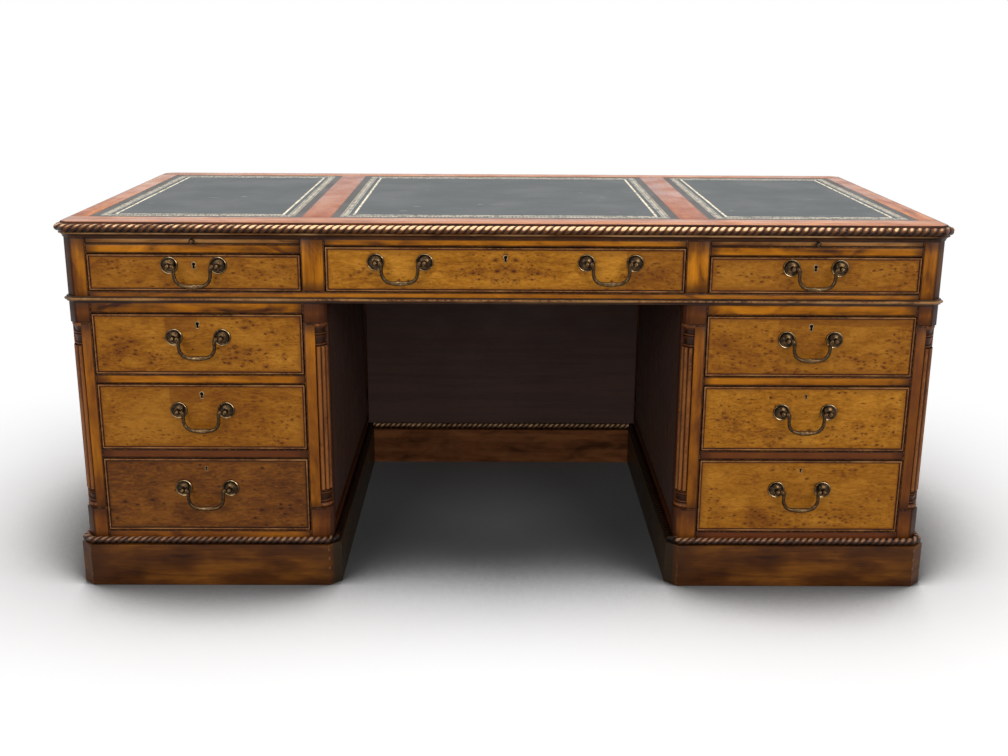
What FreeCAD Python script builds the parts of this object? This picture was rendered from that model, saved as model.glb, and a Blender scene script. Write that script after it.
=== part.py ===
import FreeCAD, Part

import math
import os
from types import SimpleNamespace

import Sketcher

# A pedestal writing desk in mahogany and burr veneer: a leather-lined top on a frieze with
# three drawers and two writing slides, standing on two three-drawer pedestals.
# Millimetres. +X is to the right of someone sitting at the desk's front, +Y runs from the
# front to the back and +Z is up. The origin is on the floor under the middle of the desk.

SIZES = {
    # Overall, over the carved rope edge of the top.
    "desk_width": 1840,
    "desk_depth": 900,
    "desk_height": 795,
    "rope_overhang": 16,
    "corner_cut": 15,
    # Top: a framed board with three leather panels let into it.
    "top_thickness": 21,
    "top_rope_reach": 12.5,
    "side_border": 42,
    "front_border": 73.5,
    "rear_border": 52.5,
    "cross_rail_width": 62,
    "leather_thickness": 1.3,
    "leather_sink": 0.4,
    # Carved rope mouldings, as plain round-nosed strips.
    "top_rope_radius": 8.5,
    "top_rope_drop": 12.5,
    "plinth_rope_radius": 7.75,
    "plinth_rope_lift": 8.25,
    "plinth_rope_reach": 14.25,
    # Cove under the top and the frame that it covers.
    "subframe_thickness": 11.5,
    "subframe_width": 60,
    "cove_reach": 9,
    "cove_lip": 4,
    "cove_start": 1.5,
    # Half-round waist moulding where the frieze meets the pedestals.
    "waist_reach": 8,
    "waist_flat": 4,
    "waist_height": 12,
    # Frieze, measured down from its top.
    "slot_height": 12.5,
    "slide_rail_height": 19.5,
    "side_drawer_height": 79,
    "frieze_rail_height": 22.5,
    "centre_rail_height": 15,
    # Pedestals: posts, rails and drawer openings.
    "kneehole_width": 742,
    "outer_post": 47,
    "inner_post": 48,
    "crown_rail_height": 23.5,
    "upper_drawer_height": 132,
    "upper_rail_height": 19.5,
    "middle_drawer_height": 146,
    "lower_rail_height": 19,
    "base_rail_height": 29,
    "plinth_height": 94,
    "plinth_reach": 16,
    "plinth_thickness": 26,
    # Boards.
    "rail_thickness": 20,
    "panel_thickness": 16,
    "panel_sink": 6,
    "board_thickness": 10,
    "partition_thickness": 18,
    "guide_height": 25,
    "stop_width": 30,
    "stop_depth": 10,
    "stop_height": 5,
    "stop_inset": 90,
    # Corner niches and their reeded quarter columns.
    "niche": 25,
    "niche_block_top": 45,
    "niche_block_foot": 80,
    "capital_height": 49,
    "column_foot_height": 42.5,
    "reed_ring": 19.8,
    "reed_radius": 4.8,
    "capital_radius": 24.6,
    # Modesty panel across the back of the kneehole.
    "modesty_set": 64,
    # Drawers.
    "pedestal_drawer_length": 600,
    "frieze_drawer_length": 560,
    "drawer_gap": 2.2,
    "side_play": 1,
    "runner_play": 0.5,
    "top_play": 6,
    "drawer_side": 12,
    "drawer_bottom": 6,
    "bottom_lift": 6,
    "bead_width": 3.6,
    "bead_proud": 2.5,
    # Swan-neck handles.
    "handle_spacing": 100,
    "handle_rise": 15.5,
    "centre_handle_offset": 216,
    "handle_proud": 20,
    "rosette_radius": 18,
    "rosette_thickness": 3,
    "stem_radius": 3,
    "eye_radius": 5.5,
    "pin_radius": 2,
    "pin_play": 0.1,
    "pin_bite": 1.5,
    "pin_end_play": 0.5,
    "shoulder_play": 1,
    "wire_radius": 2.5,
    "grip_radius": 3.8,
    "hook_bend": 4,
    "grip_bend": 13,
    "bail_drop": 44,
    "nut_radius": 6,
    "nut_thickness": 4,
    # Locks and keyhole plates.
    "keyhole_drop": 23.5,
    "keyhole_width": 7,
    "keyhole_height": 11,
    "keyhole_proud": 1.2,
    "lock_width": 55,
    "lock_height": 32,
    "lock_thickness": 10,
    # Writing slides and their knobs.
    "slide_length": 420,
    "slide_play": 0.3,
    "knob_radius": 5.5,
    "knob_proud": 8,
    "knob_neck": 2.5,
    "knob_plate": 1.5,
    # Wood screws.
    "screw_radius": 2.2,
    "screw_head": 4.5,
    "screw_sink": 3,
    "screw_length": 25,
    "top_screw_inner": 150,
    "top_screw_outer": 700,
    "pedestal_screw_spread": 139,
}

X_AXIS = FreeCAD.Vector(1, 0, 0)
Y_AXIS = FreeCAD.Vector(0, 1, 0)
Z_AXIS = FreeCAD.Vector(0, 0, 1)
QUARTER = 90
# The turn about Z that points a corner piece, modelled facing +X +Y, outwards.
TURNS = {(1, 1): 0, (-1, 1): QUARTER, (-1, -1): 2 * QUARTER, (1, -1): 3 * QUARTER}
# How much a corner's 45 degree cut grows when its two faces are moved out by 1.
CUT_GROWTH = 2 - math.sqrt(2)


class Size:
    """A length that knows both its spreadsheet formula and its value."""

    def __init__(self, formula, value):
        self.formula = formula
        self.value = value

    def __add__(self, other):
        other = as_size(other)
        return Size(f"({self.formula} + {other.formula})", self.value + other.value)

    def __sub__(self, other):
        other = as_size(other)
        return Size(f"({self.formula} - {other.formula})", self.value - other.value)

    def __mul__(self, other):
        other = as_size(other)
        return Size(f"({self.formula} * {other.formula})", self.value * other.value)

    def __truediv__(self, other):
        other = as_size(other)
        return Size(f"({self.formula} / {other.formula})", self.value / other.value)

    def __neg__(self):
        return Size(f"(0 - {self.formula})", -self.value)

    __radd__ = __add__
    __rmul__ = __mul__


def as_size(number):
    """A Size from a plain number, or the Size itself."""
    if isinstance(number, Size):
        return number
    return Size(repr(float(number)), float(number))


def fill_sheet(doc):
    """Put the driving sizes into a spreadsheet and return them as Sizes by name."""
    sheet = doc.addObject("Spreadsheet::Sheet", "Sizes")
    for row, (name, number) in enumerate(SIZES.items(), start=1):
        sheet.set(f"A{row}", name)
        sheet.set(f"B{row}", str(number))
        sheet.setAlias(f"B{row}", name)
    doc.recompute()
    sizes = {name: Size(f"Sizes.{name}", float(sheet.get(name))) for name in SIZES}
    return SimpleNamespace(**sizes)


doc = FreeCAD.newDocument("PartnersDesk")
S = fill_sheet(doc)
ZERO = as_size(0)

# Places worked out from the driving sizes.
carcass_x = S.desk_width / 2 - S.rope_overhang
carcass_y = S.desk_depth / 2 - S.rope_overhang
top_edge_x = carcass_x + S.rope_overhang - S.top_rope_reach
top_edge_y = carcass_y + S.rope_overhang - S.top_rope_reach
top_edge_cut = S.corner_cut + (S.rope_overhang - S.top_rope_reach) * CUT_GROWTH
top_under = S.desk_height - S.top_thickness
frieze_top = top_under - S.subframe_thickness
slot_low = frieze_top - S.slot_height
side_open_high = slot_low - S.slide_rail_height
frieze_open_low = side_open_high - S.side_drawer_height
centre_open_high = frieze_top - S.centre_rail_height
pedestal_top = frieze_open_low - S.frieze_rail_height
upper_high = pedestal_top - S.crown_rail_height
upper_low = upper_high - S.upper_drawer_height
middle_high = upper_low - S.upper_rail_height
middle_low = middle_high - S.middle_drawer_height
lower_high = middle_low - S.lower_rail_height
lower_low = S.plinth_height + S.base_rail_height
kneehole_x = S.kneehole_width / 2
drawer_in = kneehole_x + S.inner_post
drawer_out = carcass_x - S.outer_post
drawer_x = (drawer_in + drawer_out) / 2
drawer_width = drawer_out - drawer_in
outer_rail_y = carcass_y - S.outer_post
inner_rail_y = carcass_y - S.inner_post
rail_back = carcass_y - S.rail_thickness
panel_back = S.panel_sink + S.panel_thickness
outer_panel_in = carcass_x - panel_back
inner_panel_in = kneehole_x + panel_back
stile_x = (kneehole_x + drawer_in) / 2
partition_in = stile_x - S.partition_thickness / 2
partition_out = stile_x + S.partition_thickness / 2
modesty_y = carcass_y - S.modesty_set
pivot_y = -carcass_y - S.handle_proud


def box(name, x, y, z):
    """A board between low and high places along each axis."""
    piece = doc.addObject("Part::Box", name)
    for side, axis, (low, high) in zip(("Length", "Width", "Height"), "xyz", (x, y, z)):
        piece.setExpression(side, (high - low).formula)
        piece.setExpression(f"Placement.Base.{axis}", low.formula)
    return piece


def prism(name, corners, z):
    """An upright board whose plan is the polygon through the corners."""
    body = doc.addObject("PartDesign::Body", name)
    plan = body.newObject("Sketcher::SketchObject", f"{name}_plan")
    ground = [plane for plane in body.Origin.OriginFeatures if plane.Role == "XY_Plane"]
    plan.AttachmentSupport = [(ground[0], "")]
    plan.MapMode = "FlatFace"
    ends = corners[1:] + corners[:1]
    for (x0, y0), (x1, y1) in zip(corners, ends):
        start = FreeCAD.Vector(x0.value, y0.value, 0)
        end = FreeCAD.Vector(x1.value, y1.value, 0)
        plan.addGeometry(Part.LineSegment(start, end), False)
    for index, (x, y) in enumerate(corners):
        following = (index + 1) % len(corners)
        plan.addConstraint(Sketcher.Constraint("Coincident", index, 2, following, 1))
        for kind, place in (("DistanceX", x), ("DistanceY", y)):
            number = plan.addConstraint(Sketcher.Constraint(kind, -1, 1, index, 1, place.value))
            plan.setExpression(f"Constraints[{number}]", place.formula)
    pad = body.newObject("PartDesign::Pad", f"{name}_pad")
    pad.Profile = plan
    pad.setExpression("Length", (z[1] - z[0]).formula)
    body.setExpression("Placement.Base.z", z[0].formula)
    return body


def rod(name, axis, radius, start, length, taper_to=None):
    """A round bar, or a cone when it tapers, from a start point along +X, +Y or +Z."""
    turns = {"x": (Y_AXIS, QUARTER), "y": (X_AXIS, -QUARTER), "z": (Z_AXIS, 0)}
    piece = doc.addObject("Part::Cone" if taper_to else "Part::Cylinder", name)
    piece.Placement.Rotation = FreeCAD.Rotation(*turns[axis])
    if taper_to:
        piece.setExpression("Radius1", radius.formula)
        piece.setExpression("Radius2", taper_to.formula)
    else:
        piece.setExpression("Radius", radius.formula)
    piece.setExpression("Height", length.formula)
    place(piece, start)
    return piece


def place(piece, position):
    """Bind a piece's position to formulas."""
    for axis, value in zip("xyz", position):
        piece.setExpression(f"Placement.Base.{axis}", as_size(value).formula)


def ball(name, radius, centre):
    piece = doc.addObject("Part::Sphere", name)
    piece.setExpression("Radius", radius.formula)
    place(piece, centre)
    return piece


def bend(name, radius, wire, centre, start):
    """A quarter ring of round wire in the XZ plane, from a start angle measured from +X to +Z."""
    piece = doc.addObject("Part::Torus", name)
    piece.Placement.Rotation = FreeCAD.Rotation(X_AXIS, QUARTER) * FreeCAD.Rotation(Z_AXIS, start)
    piece.setExpression("Radius1", radius.formula)
    piece.setExpression("Radius2", wire.formula)
    piece.Angle3 = QUARTER
    place(piece, centre)
    return piece


def fuse(name, pieces):
    joined = doc.addObject("Part::MultiFuse", name)
    joined.Shapes = pieces
    return joined


def cut(name, base, tool):
    result = doc.addObject("Part::Cut", name)
    result.Base = base
    result.Tool = tool
    return result


def group(name, pieces, position=(0, 0, 0), turn=0):
    """Separate pieces kept together as one object, placed as a whole."""
    together = doc.addObject("Part::Compound", name)
    together.Links = pieces
    together.Placement.Rotation = FreeCAD.Rotation(Z_AXIS, turn)
    place(together, position)
    return together


def across(side, near, far):
    """The span in X between two distances from the middle, to the left (-1) or right (1)."""
    return (near, far) if side > 0 else (-far, -near)


def along(end, near, far):
    """The span in Y between two distances from the middle, at the front (-1) or back (1)."""
    return (near, far) if end > 0 else (-far, -near)


def side_name(side):
    return "left" if side < 0 else "right"


def end_name(end):
    return "front" if end < 0 else "back"


# Mitred mouldings ------------------------------------------------------------------------

def octagon(half_x, half_y, corner, grow):
    """A rectangle with cut corners, grown outwards; anticlockwise from the front left."""
    x = half_x + grow
    y = half_y + grow
    c = corner + grow * CUT_GROWTH
    return [
        FreeCAD.Vector(px, py, 0)
        for px, py in (
            (c - x, -y), (x - c, -y), (x, c - y), (x, y - c),
            (x - c, y), (c - x, y), (-x, y - c), (-x, c - y),
        )
    ]


def strip(section, length):
    """A straight moulding along +X whose section is given as edges in (-Y, Z)."""
    return Part.Face(Part.Wire(section)).extrude(X_AXIS * length)


def mitred_lengths(section, reach, plan, centre_x=0):
    """The eight mitred lengths of a moulding around a cut-cornered rectangle.

    The section's edges stand on the plan's outline, and reach is its span (inwards, outwards).
    """
    half_x, half_y, corner = plan
    outline = octagon(half_x, half_y, corner, 0)
    inner = octagon(half_x, half_y, corner, -reach[0])
    outer = octagon(half_x, half_y, corner, reach[1])
    margin = 2 * (reach[0] + reach[1])
    lengths = []
    for index, start in enumerate(outline):
        after = (index + 1) % len(outline)
        run = outline[after] - start
        turn = math.degrees(math.atan2(run.y, run.x))
        bar = strip(section, run.Length + 2 * margin)
        bar.translate(FreeCAD.Vector(-margin, 0, 0))
        bar.rotate(FreeCAD.Vector(0, 0, 0), Z_AXIS, turn)
        bar.translate(start)
        corners = [inner[index], inner[after], outer[after], outer[index], inner[index]]
        wedge = Part.Face(Part.makePolygon(corners)).extrude(Z_AXIS * bar.BoundBox.ZMax)
        length = bar.common(wedge).Solids[0]
        length.translate(FreeCAD.Vector(centre_x, 0, 0))
        lengths.append(length)
    return lengths


def point(out, z):
    """A point of a moulding's section, a distance outwards from the face it stands on."""
    return FreeCAD.Vector(0, -out, z)


def edges_through(points):
    """Straight edges through the points of a section."""
    return [Part.LineSegment(a, b).toShape() for a, b in zip(points, points[1:])]


def rope_section(radius, reach, centre_z):
    """A round nose whose flat back lies on the face behind it."""
    centre = reach - radius
    half_height = math.sqrt(radius ** 2 - centre ** 2)
    low = point(0, centre_z - half_height)
    high = point(0, centre_z + half_height)
    nose = Part.Arc(low, point(reach, centre_z), high).toShape()
    return [nose] + edges_through([high, low])


def cove_section():
    low = frieze_top.value
    high = top_under.value
    lip = high - S.cove_lip.value
    start = S.cove_start.value
    reach = S.cove_reach.value
    hollow_x = reach - (reach - start) * math.cos(math.pi / 4)
    hollow_z = low + (lip - low) * math.sin(math.pi / 4)
    hollow = Part.Arc(point(start, low), point(hollow_x, hollow_z), point(reach, lip)).toShape()
    rest = [point(reach, lip), point(reach, high), point(0, high), point(0, low), point(start, low)]
    return [hollow] + edges_through(rest)


def waist_section():
    low = pedestal_top.value
    high = low + S.waist_height.value
    middle = (low + high) / 2
    flat = S.waist_flat.value
    nose = Part.Arc(point(flat, low), point(S.waist_reach.value, middle), point(flat, high)).toShape()
    return [nose] + edges_through([point(flat, high), point(0, high), point(0, low), point(flat, low)])


def plinth_section():
    back = -S.plinth_thickness.value
    high = S.plinth_height.value
    return edges_through([point(back, 0), point(0, 0), point(0, high), point(back, high), point(back, 0)])


def solid_feature(name, solids):
    """An object that holds finished solids."""
    feature = doc.addObject("Part::Feature", name)
    feature.Shape = Part.makeCompound(solids)
    feature.Placement = FreeCAD.Placement()
    return feature


def pedestal_plan(grow=0):
    """Half width, half depth and corner cut of a pedestal, grown outwards."""
    half_width = (carcass_x - kneehole_x).value / 2
    corner = S.corner_cut.value + grow * CUT_GROWTH
    return half_width + grow, carcass_y.value + grow, corner


def pedestal_centre(side):
    return side * (carcass_x + kneehole_x).value / 2


def top_rope_moulding():
    centre_z = (S.desk_height - S.top_rope_drop).value
    section = rope_section(S.top_rope_radius.value, S.top_rope_reach.value, centre_z)
    plan = (top_edge_x.value, top_edge_y.value, top_edge_cut.value)
    return solid_feature("top_rope_moulding", mitred_lengths(section, (0, S.top_rope_reach.value), plan))


def carcass_moulding(name, section, reach):
    plan = (carcass_x.value, carcass_y.value, S.corner_cut.value)
    return solid_feature(name, mitred_lengths(section, (0, reach.value), plan))


def plinth_rope_moulding():
    """Rope strips around the foot of both pedestals and along the modesty panel."""
    centre_z = (S.plinth_height + S.plinth_rope_lift).value
    reach = S.plinth_rope_reach.value
    section = rope_section(S.plinth_rope_radius.value, reach, centre_z)
    lengths = []
    for side in (-1, 1):
        lengths += mitred_lengths(section, (0, reach), pedestal_plan(), pedestal_centre(side))
    half_length = kneehole_x.value - reach
    across_back = strip(section, 2 * half_length)
    across_back.translate(FreeCAD.Vector(-half_length, modesty_y.value, 0))
    return solid_feature("plinth_rope_moulding", lengths + [across_back])


def plinth(side):
    thickness = S.plinth_thickness.value
    plan = pedestal_plan(grow=S.plinth_reach.value)
    lengths = mitred_lengths(plinth_section(), (thickness, 0), plan, pedestal_centre(side))
    return solid_feature(f"{side_name(side)}_plinth", lengths)


# Top -------------------------------------------------------------------------------------

def end_board(name, end, depth, half_x, half_y, corner, z):
    """A board across the front (-1) or back (1) with its two outer corners cut off."""
    inner_y = end * (half_y - depth)
    shoulder_y = end * (half_y - corner)
    outer_y = end * half_y
    tip_x = half_x - corner
    corners = [
        (-half_x, inner_y), (-half_x, shoulder_y), (-tip_x, outer_y),
        (tip_x, outer_y), (half_x, shoulder_y), (half_x, inner_y),
    ]
    return prism(name, corners if end > 0 else corners[::-1], z)


def leather_bays():
    """The spans in X of the left, centre and right leather panels."""
    half_rail = S.cross_rail_width / 2
    inner = stile_x + half_rail
    outer = top_edge_x - S.side_border
    middle = stile_x - half_rail
    return {"left": (-outer, -inner), "centre": (-middle, middle), "right": (inner, outer)}


def top_boards():
    z = (top_under, S.desk_height)
    front = -top_edge_y + S.front_border
    back = top_edge_y - S.rear_border
    pieces = [
        end_board("top_front", -1, S.front_border, top_edge_x, top_edge_y, top_edge_cut, z),
        end_board("top_back", 1, S.rear_border, top_edge_x, top_edge_y, top_edge_cut, z),
    ]
    half_rail = S.cross_rail_width / 2
    for side in (-1, 1):
        name = side_name(side)
        border = across(side, top_edge_x - S.side_border, top_edge_x)
        rail = across(side, stile_x - half_rail, stile_x + half_rail)
        pieces.append(box(f"top_border_{name}", border, (front, back), z))
        pieces.append(box(f"top_cross_rail_{name}", rail, (front, back), z))
    core_top = S.desk_height - S.leather_sink - S.leather_thickness
    for name, bay in leather_bays().items():
        pieces.append(box(f"top_core_{name}", bay, (front, back), (top_under, core_top)))
    return group("top_boards", pieces)


def leather_skivers():
    y = (-top_edge_y + S.front_border, top_edge_y - S.rear_border)
    high = S.desk_height - S.leather_sink
    z = (high - S.leather_thickness, high)
    panels = [box(f"skiver_{name}", bay, y, z) for name, bay in leather_bays().items()]
    return group("leather_skivers", panels)


# Frieze ----------------------------------------------------------------------------------

def corner_post(name, width, z, niche=None):
    """A square post with its outer corner at the origin cut off, facing +X +Y."""
    corners = [
        (-width, -width), (ZERO, -width), (ZERO, -S.corner_cut),
        (-S.corner_cut, ZERO), (-width, ZERO),
    ]
    post = prism(name, corners, z)
    if niche is None:
        return post
    hollow = box(f"{name}_niche", (-S.niche, S.niche), (-S.niche, S.niche), niche)
    return cut(f"{name}_niched", post, hollow)


def at_corner(name, piece, x, side, end, inset=0):
    """A copy of a corner piece at a carcass corner, inset from it and turned outwards."""
    position = (x - side * as_size(inset), end * (carcass_y - inset), ZERO)
    return group(name, [piece], position, TURNS[(side, end)])


def frieze_posts():
    post = corner_post("frieze_post", S.outer_post, (pedestal_top, frieze_top))
    return [
        at_corner(f"frieze_post_{side_name(side)}_{end_name(end)}", post, side * carcass_x, side, end)
        for side in (-1, 1) for end in (-1, 1)
    ]


def frieze_face(end):
    """Rails and stiles of the frieze's front (-1) or back (1)."""
    name = end_name(end)
    y = along(end, rail_back, carcass_y)
    low_rail = (pedestal_top, frieze_open_low)
    high_rail = (centre_open_high, frieze_top)
    pieces = [
        box(f"frieze_low_rail_{name}", (-drawer_out, drawer_out), y, low_rail),
        box(f"frieze_high_rail_{name}", (-kneehole_x, kneehole_x), y, high_rail),
    ]
    for side in (-1, 1):
        stile = across(side, kneehole_x, drawer_in)
        bay = across(side, drawer_in, drawer_out)
        rail = (side_open_high, slot_low) if end < 0 else high_rail
        label = f"{side_name(side)}_{name}"
        pieces.append(box(f"frieze_stile_{label}", stile, y, (frieze_open_low, frieze_top)))
        pieces.append(box(f"frieze_side_rail_{label}", bay, y, rail))
    return pieces


def frieze_ends():
    """Top and bottom rails of the frieze's two ends."""
    pieces = []
    y = (-outer_rail_y, outer_rail_y)
    for side in (-1, 1):
        x = across(side, carcass_x - S.rail_thickness, carcass_x)
        name = side_name(side)
        pieces.append(box(f"frieze_end_low_rail_{name}", x, y, (pedestal_top, frieze_open_low)))
        pieces.append(box(f"frieze_end_high_rail_{name}", x, y, (centre_open_high, frieze_top)))
    return pieces


def subframe():
    """The flat frame on top of the frieze that the top is screwed to."""
    z = (frieze_top, top_under)
    inner_y = carcass_y - S.subframe_width
    pieces = [
        end_board(f"subframe_{end_name(end)}", end, S.subframe_width, carcass_x, carcass_y, S.corner_cut, z)
        for end in (-1, 1)
    ]
    for side in (-1, 1):
        edge = across(side, carcass_x - S.subframe_width, carcass_x)
        bar = across(side, kneehole_x, drawer_in)
        name = side_name(side)
        pieces.append(box(f"subframe_end_{name}", edge, (-inner_y, inner_y), z))
        pieces.append(box(f"subframe_bar_{name}", bar, (-inner_y, inner_y), z))
    return pieces


def frieze_frame():
    return group(
        "frieze_frame",
        frieze_posts() + frieze_face(-1) + frieze_face(1) + frieze_ends() + subframe(),
    )


def frieze_panels():
    """Recessed end and back panels, the dust board, the partitions and the slides' bearers."""
    pieces = []
    z = (frieze_open_low, centre_open_high)
    back = (carcass_y - panel_back, carcass_y - S.panel_sink)
    dust = (frieze_open_low - S.board_thickness, frieze_open_low)
    pieces.append(box("frieze_back_centre", (-kneehole_x, kneehole_x), back, z))
    pieces.append(box("frieze_dust_board", (-drawer_out, drawer_out), (-rail_back, rail_back), dust))
    for side in (-1, 1):
        name = side_name(side)
        bay = across(side, drawer_in, drawer_out)
        end = across(side, outer_panel_in, carcass_x - S.panel_sink)
        wall = across(side, partition_in, partition_out)
        bearer = across(side, partition_out, drawer_out)
        pieces.append(box(f"frieze_back_{name}", bay, back, z))
        pieces.append(box(f"frieze_end_{name}", end, (-outer_rail_y, outer_rail_y), z))
        whole_height = (frieze_open_low, frieze_top)
        pieces.append(box(f"frieze_partition_{name}", wall, (-rail_back, rail_back), whole_height))
        reach = (-rail_back, S.slide_length - carcass_y)
        pieces.append(box(f"slide_bearer_{name}", bearer, reach, (slot_low - S.board_thickness, slot_low)))
        for end_sign in (-1, 1):
            y = along(end_sign, rail_back - S.subframe_width, rail_back)
            batten = (pedestal_top, frieze_open_low - S.board_thickness)
            pieces.append(box(f"frieze_batten_{name}_{end_name(end_sign)}", bay, y, batten))
    return group("frieze_panels", pieces)


# Pedestals -------------------------------------------------------------------------------

def pedestal_openings():
    """Low and high edges of the pedestal drawer openings."""
    return {
        "upper": (upper_low, upper_high),
        "middle": (middle_low, middle_high),
        "lower": (lower_low, lower_high),
    }


def pedestal_corners(side):
    """Name, X, outward side and width of the outer and inner posts of a pedestal."""
    return (
        ("outer", side * carcass_x, side, S.outer_post),
        ("inner", side * kneehole_x, -side, S.inner_post),
    )


def niche_span():
    return (S.plinth_height + S.niche_block_foot, pedestal_top - S.niche_block_top)


def pedestal_frame(side):
    """Corner posts with their niches, and the rails between them on all four faces."""
    name = side_name(side)
    crown = (upper_high, pedestal_top)
    foot = (S.plinth_height, lower_low)
    bay = across(side, drawer_in, drawer_out)
    pieces = []
    for corner, x, outward, width in pedestal_corners(side):
        span = (S.plinth_height, pedestal_top)
        post = corner_post(f"{name}_{corner}_post", width, span, niche_span())
        for end in (-1, 1):
            pieces.append(at_corner(f"{name}_{corner}_post_{end_name(end)}", post, x, outward, end))
        half_length = carcass_y - width
        inside = x - outward * S.rail_thickness
        x_span = (inside, x) if outward > 0 else (x, inside)
        for level, z in (("crown", crown), ("foot", foot)):
            pieces.append(box(f"{name}_{corner}_{level}_rail", x_span, (-half_length, half_length), z))
    rails = (crown, (middle_high, upper_low), (lower_high, middle_low), foot)
    for number, z in enumerate(rails, start=1):
        pieces.append(box(f"{name}_front_rail_{number}", bay, along(-1, rail_back, carcass_y), z))
    for level, z in (("crown", crown), ("foot", foot)):
        pieces.append(box(f"{name}_back_{level}_rail", bay, along(1, rail_back, carcass_y), z))
    return group(f"{name}_pedestal_frame", pieces)


def pedestal_panels(side):
    """Recessed panels of the sides and back, and the boards that the drawers run on."""
    name = side_name(side)
    bay = across(side, drawer_in, drawer_out)
    z = (lower_low, upper_high)
    back = (carcass_y - panel_back, carcass_y - S.panel_sink)
    outer = across(side, outer_panel_in, carcass_x - S.panel_sink)
    inner = across(side, kneehole_x + S.panel_sink, inner_panel_in)
    depth = (-rail_back, carcass_y - panel_back)
    pieces = [
        box(f"{name}_outer_panel", outer, (-outer_rail_y, outer_rail_y), z),
        box(f"{name}_inner_panel", inner, (-inner_rail_y, inner_rail_y), z),
        box(f"{name}_back_panel", bay, back, z),
        box(f"{name}_crown_board", bay, depth, (pedestal_top - S.board_thickness, pedestal_top)),
    ]
    for level, (low, _) in pedestal_openings().items():
        pieces.append(box(f"{name}_{level}_board", bay, depth, (low - S.board_thickness, low)))
    return group(f"{name}_pedestal_panels", pieces)


def reeded_column():
    """A quarter column facing +X +Y: three reeds on a core, between a foot and a capital."""
    foot = S.plinth_height + S.niche_block_foot
    crown = pedestal_top - S.niche_block_top
    shaft_low = foot + S.column_foot_height
    shaft_high = crown - S.capital_height
    step = 2 * math.degrees(math.asin(S.reed_radius.value / S.reed_ring.value))
    pieces = []
    blocks = (
        ("foot", S.capital_radius, foot, shaft_low),
        ("core", S.reed_ring, shaft_low, shaft_high),
        ("capital", S.capital_radius, shaft_high, crown),
    )
    for name, radius, low, high in blocks:
        block = rod(f"column_{name}", "z", radius, (ZERO, ZERO, low), high - low)
        block.Angle = QUARTER
        pieces.append(block)
    for number in (-1, 0, 1):
        angle = math.radians(QUARTER / 2 + number * step)
        centre = (S.reed_ring * math.cos(angle), S.reed_ring * math.sin(angle), shaft_low)
        pieces.append(rod(f"column_reed_{number + 2}", "z", S.reed_radius, centre, shaft_high - shaft_low))
    return fuse("column", pieces)


def corner_columns():
    column = reeded_column()
    copies = []
    for side in (-1, 1):
        for corner, x, outward, _ in pedestal_corners(side):
            for end in (-1, 1):
                name = f"column_{side_name(side)}_{corner}_{end_name(end)}"
                copies.append(at_corner(name, column, x, outward, end, S.niche))
    return group("corner_columns", copies)


def modesty_panel():
    """The panel across the back of the kneehole, notched over the pedestals' rope strips."""
    notch_x = kneehole_x - S.plinth_rope_reach
    notch_z = S.plinth_height + S.plinth_rope_lift + S.plinth_rope_radius
    y = (modesty_y, modesty_y + S.panel_thickness)
    high = frieze_open_low - S.board_thickness
    lower = box("modesty_lower", (-notch_x, notch_x), y, (S.plinth_height, notch_z))
    upper = box("modesty_upper", (-kneehole_x, kneehole_x), y, (notch_z, high))
    return fuse("modesty_panel", [lower, upper])


def modesty_plinth():
    x = kneehole_x - S.plinth_reach
    y = (modesty_y - S.plinth_reach, modesty_y + S.panel_thickness)
    return group("modesty_plinth", [box("modesty_foot", (-x, x), y, (ZERO, S.plinth_height))])


def drawer_runners():
    """Guides beside each drawer and slide, and the stops that meet the closed drawer fronts."""
    pieces = []
    inner_y = (-inner_rail_y, inner_rail_y)
    outer_y = (-outer_rail_y, outer_rail_y)
    frieze_low = frieze_open_low - S.board_thickness
    frieze_high = frieze_open_low + S.guide_height
    bearer_low = slot_low - S.board_thickness
    slide_y = (-outer_rail_y, S.slide_length - carcass_y)
    for side in (-1, 1):
        name = side_name(side)
        for level, (low, _) in pedestal_openings().items():
            z = (low - S.board_thickness, low + S.guide_height)
            outer = across(side, drawer_out, outer_panel_in)
            inner = across(side, inner_panel_in, drawer_in)
            pieces.append(box(f"{name}_{level}_outer_guide", outer, outer_y, z))
            pieces.append(box(f"{name}_{level}_inner_guide", inner, inner_y, z))
        frieze_guides = {
            "centre": (kneehole_x, partition_in, outer_y, (frieze_open_low, frieze_high)),
            "inner": (partition_out, drawer_in, outer_y, (frieze_open_low, frieze_high)),
            "outer": (drawer_out, outer_panel_in, outer_y, (frieze_low, frieze_high)),
            "slide_inner": (partition_out, drawer_in, slide_y, (slot_low, frieze_top)),
            "slide_outer": (drawer_out, outer_panel_in, slide_y, (bearer_low, frieze_top)),
        }
        for label, (near, far, y, z) in frieze_guides.items():
            pieces.append(box(f"{name}_frieze_{label}_guide", across(side, near, far), y, z))
    return group("drawer_runners", pieces + drawer_stops())


def drawer_stops():
    """Small blocks on the boards, just behind the closed drawer fronts."""
    y = (-rail_back, S.stop_depth - rail_back)
    bays = [("centre", -kneehole_x, kneehole_x, frieze_open_low)]
    for side in (-1, 1):
        near, far = across(side, drawer_in, drawer_out)
        bays.append((f"{side_name(side)}_frieze", near, far, frieze_open_low))
        for level, (low, _) in pedestal_openings().items():
            bays.append((f"{side_name(side)}_{level}", near, far, low))
    stops = []
    for name, near, far, low in bays:
        for label, x in (("a", near + S.stop_inset), ("b", far - S.stop_inset - S.stop_width)):
            stops.append(box(f"stop_{name}_{label}", (x, x + S.stop_width), y, (low, low + S.stop_height)))
    return stops


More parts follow.
